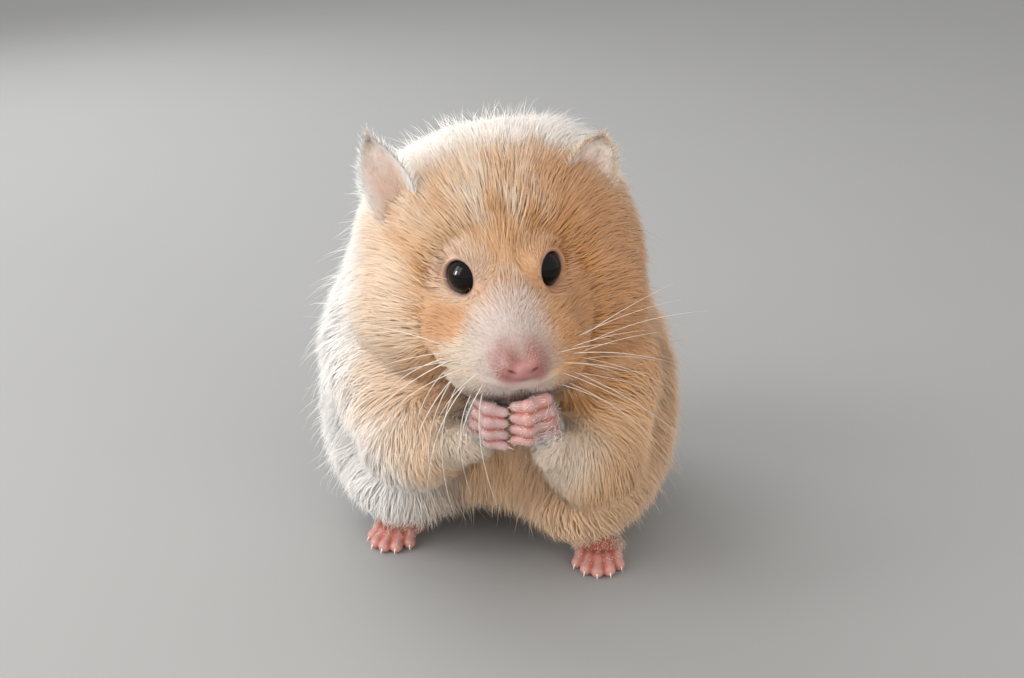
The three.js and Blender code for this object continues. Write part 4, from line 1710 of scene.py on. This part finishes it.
class HAMSTER_OT_body_coat(bpy.types.Operator):
    """Grow the long coat of the body"""

    bl_idname = "hamster.body_coat"
    bl_label = "Body coat"

    def execute(self, context):
        grow_body()
        grow_guard()
        for name in SIDES:
            grow_paw(name)
            grow_foot(name)
        return {"FINISHED"}


CAMERA_AT = SHIFT + [56.98, -251.03, 142.36]
CAMERA_TO = SHIFT + [-3.93, 12.77, 32.97]
LENS, SENSOR = 50.98, 36.0
STAGE_SIZE = 3.0
WORLD_COLOUR, WORLD_STRENGTH = (0.91, 0.905, 0.9, 1), 0.8


def aimed(thing, at, to):
    thing.location = Vector(at) * MM
    thing.rotation_euler = (Vector(to) - Vector(at)).to_track_quat("-Z", "Y").to_euler()


# share of the key power, width and height in mm, place, colour, and whether eyes and matt
# surfaces see it: the catchlight is only the bright window that the eyes mirror
LIGHTS = {
    "window_side": (1.0, 190, 420, [-410, -215, 315], "fefdfc", True, True),
    "window_front": (0.45, 150, 360, [-235, -375, 370], "fefdfc", True, True),
    "back": (1.1, 420, 420, [-330, 250, 330], "ffffff", False, True),
    "fill": (0.9, 500, 500, [330, -420, 180], "fff6ee", False, True),
    "low": (0.4, 300, 300, [-270, -430, 60], "fefdfc", False, True),
    "catchlight": (2.2, 110, 190, [-430, -330, 270], "fefdfc", True, False),
}
LIT_HEIGHT = 40


def soft_light(name, key_power, share, width, height, at, colour, glossy, diffuse):
    light = bpy.data.lights.new(name, "AREA")
    light.shape = "RECTANGLE"
    light.energy = key_power * share
    light.size, light.size_y = width * MM, height * MM
    light.color = linear(colour)
    thing = bpy.data.objects.new(name, light)
    bpy.context.scene.collection.objects.link(thing)
    aimed(thing, at, [0, 0, LIT_HEIGHT])
    thing.visible_glossy, thing.visible_diffuse = glossy, diffuse


class HAMSTER_OT_stage(bpy.types.Operator):
    """Set the floor, the soft studio light and the camera"""

    bl_idname = "hamster.stage"
    bl_label = "Stage"

    def execute(self, context):
        scene = context.scene
        settings = scene.hamster_stage
        half = STAGE_SIZE / 2
        mesh = bpy.data.meshes.new("floor")
        corners = [(-half, -half, 0), (half, -half, 0), (half, half, 0), (-half, half, 0)]
        mesh.from_pydata(corners, [], [[0, 1, 2, 3]])
        mesh.materials.append(floor_material(settings.floor_colour))
        ground = bpy.data.objects.new("floor", mesh)
        scene.collection.objects.link(ground)
        camera = bpy.data.cameras.new("camera")
        camera.lens, camera.sensor_width = LENS, SENSOR
        camera.clip_start = 0.01
        viewer = bpy.data.objects.new("camera", camera)
        scene.collection.objects.link(viewer)
        aimed(viewer, CAMERA_AT, CAMERA_TO)
        scene.camera = viewer
        for name, form in LIGHTS.items():
            soft_light(name, settings.key_power, *form)
        world = bpy.data.worlds.new("studio")
        world.use_nodes = True
        background = world.node_tree.nodes["Background"]
        background.inputs["Color"].default_value = WORLD_COLOUR
        background.inputs["Strength"].default_value = WORLD_STRENGTH
        scene.world = world
        scene.view_settings.view_transform = "Standard"
        return {"FINISHED"}


OPERATORS = (HAMSTER_OT_skin, HAMSTER_OT_eyes, HAMSTER_OT_claws, HAMSTER_OT_whiskers,
             HAMSTER_OT_head_coat, HAMSTER_OT_body_coat, HAMSTER_OT_stage)


class HAMSTER_PT_panel(bpy.types.Panel):
    """Lists the hamster's pieces in the sidebar"""

    bl_idname = "HAMSTER_PT_panel"
    bl_label = "Hamster"
    bl_space_type = "VIEW_3D"
    bl_region_type = "UI"
    bl_category = "Hamster"

    def draw(self, context):
        layout = self.layout
        for name in ("whisker_length", "head_hair", "body_hair", "apricot", "golden", "white"):
            layout.prop(context.scene.hamster_coat, name)
        layout.prop(context.scene.hamster_stage, "floor_colour")
        layout.prop(context.scene.hamster_stage, "key_power")
        for operator in OPERATORS:
            layout.operator(operator.bl_idname)


CLASSES = (HamsterCoatSettings, HamsterStageSettings, *OPERATORS, HAMSTER_PT_panel)


def register():
    for item in CLASSES:
        bpy.utils.register_class(item)
    bpy.types.Scene.hamster_coat = bpy.props.PointerProperty(type=HamsterCoatSettings)
    bpy.types.Scene.hamster_stage = bpy.props.PointerProperty(type=HamsterStageSettings)


def unregister():
    del bpy.types.Scene.hamster_stage
    del bpy.types.Scene.hamster_coat
    for item in reversed(CLASSES):
        bpy.utils.unregister_class(item)


def main():
    register()
    bpy.ops.hamster.skin()
    bpy.ops.hamster.eyes()
    bpy.ops.hamster.claws()
    bpy.ops.hamster.whiskers()
    bpy.ops.hamster.head_coat()
    bpy.ops.hamster.body_coat()
    bpy.ops.hamster.stage()


if __name__ == "__main__":
    main()
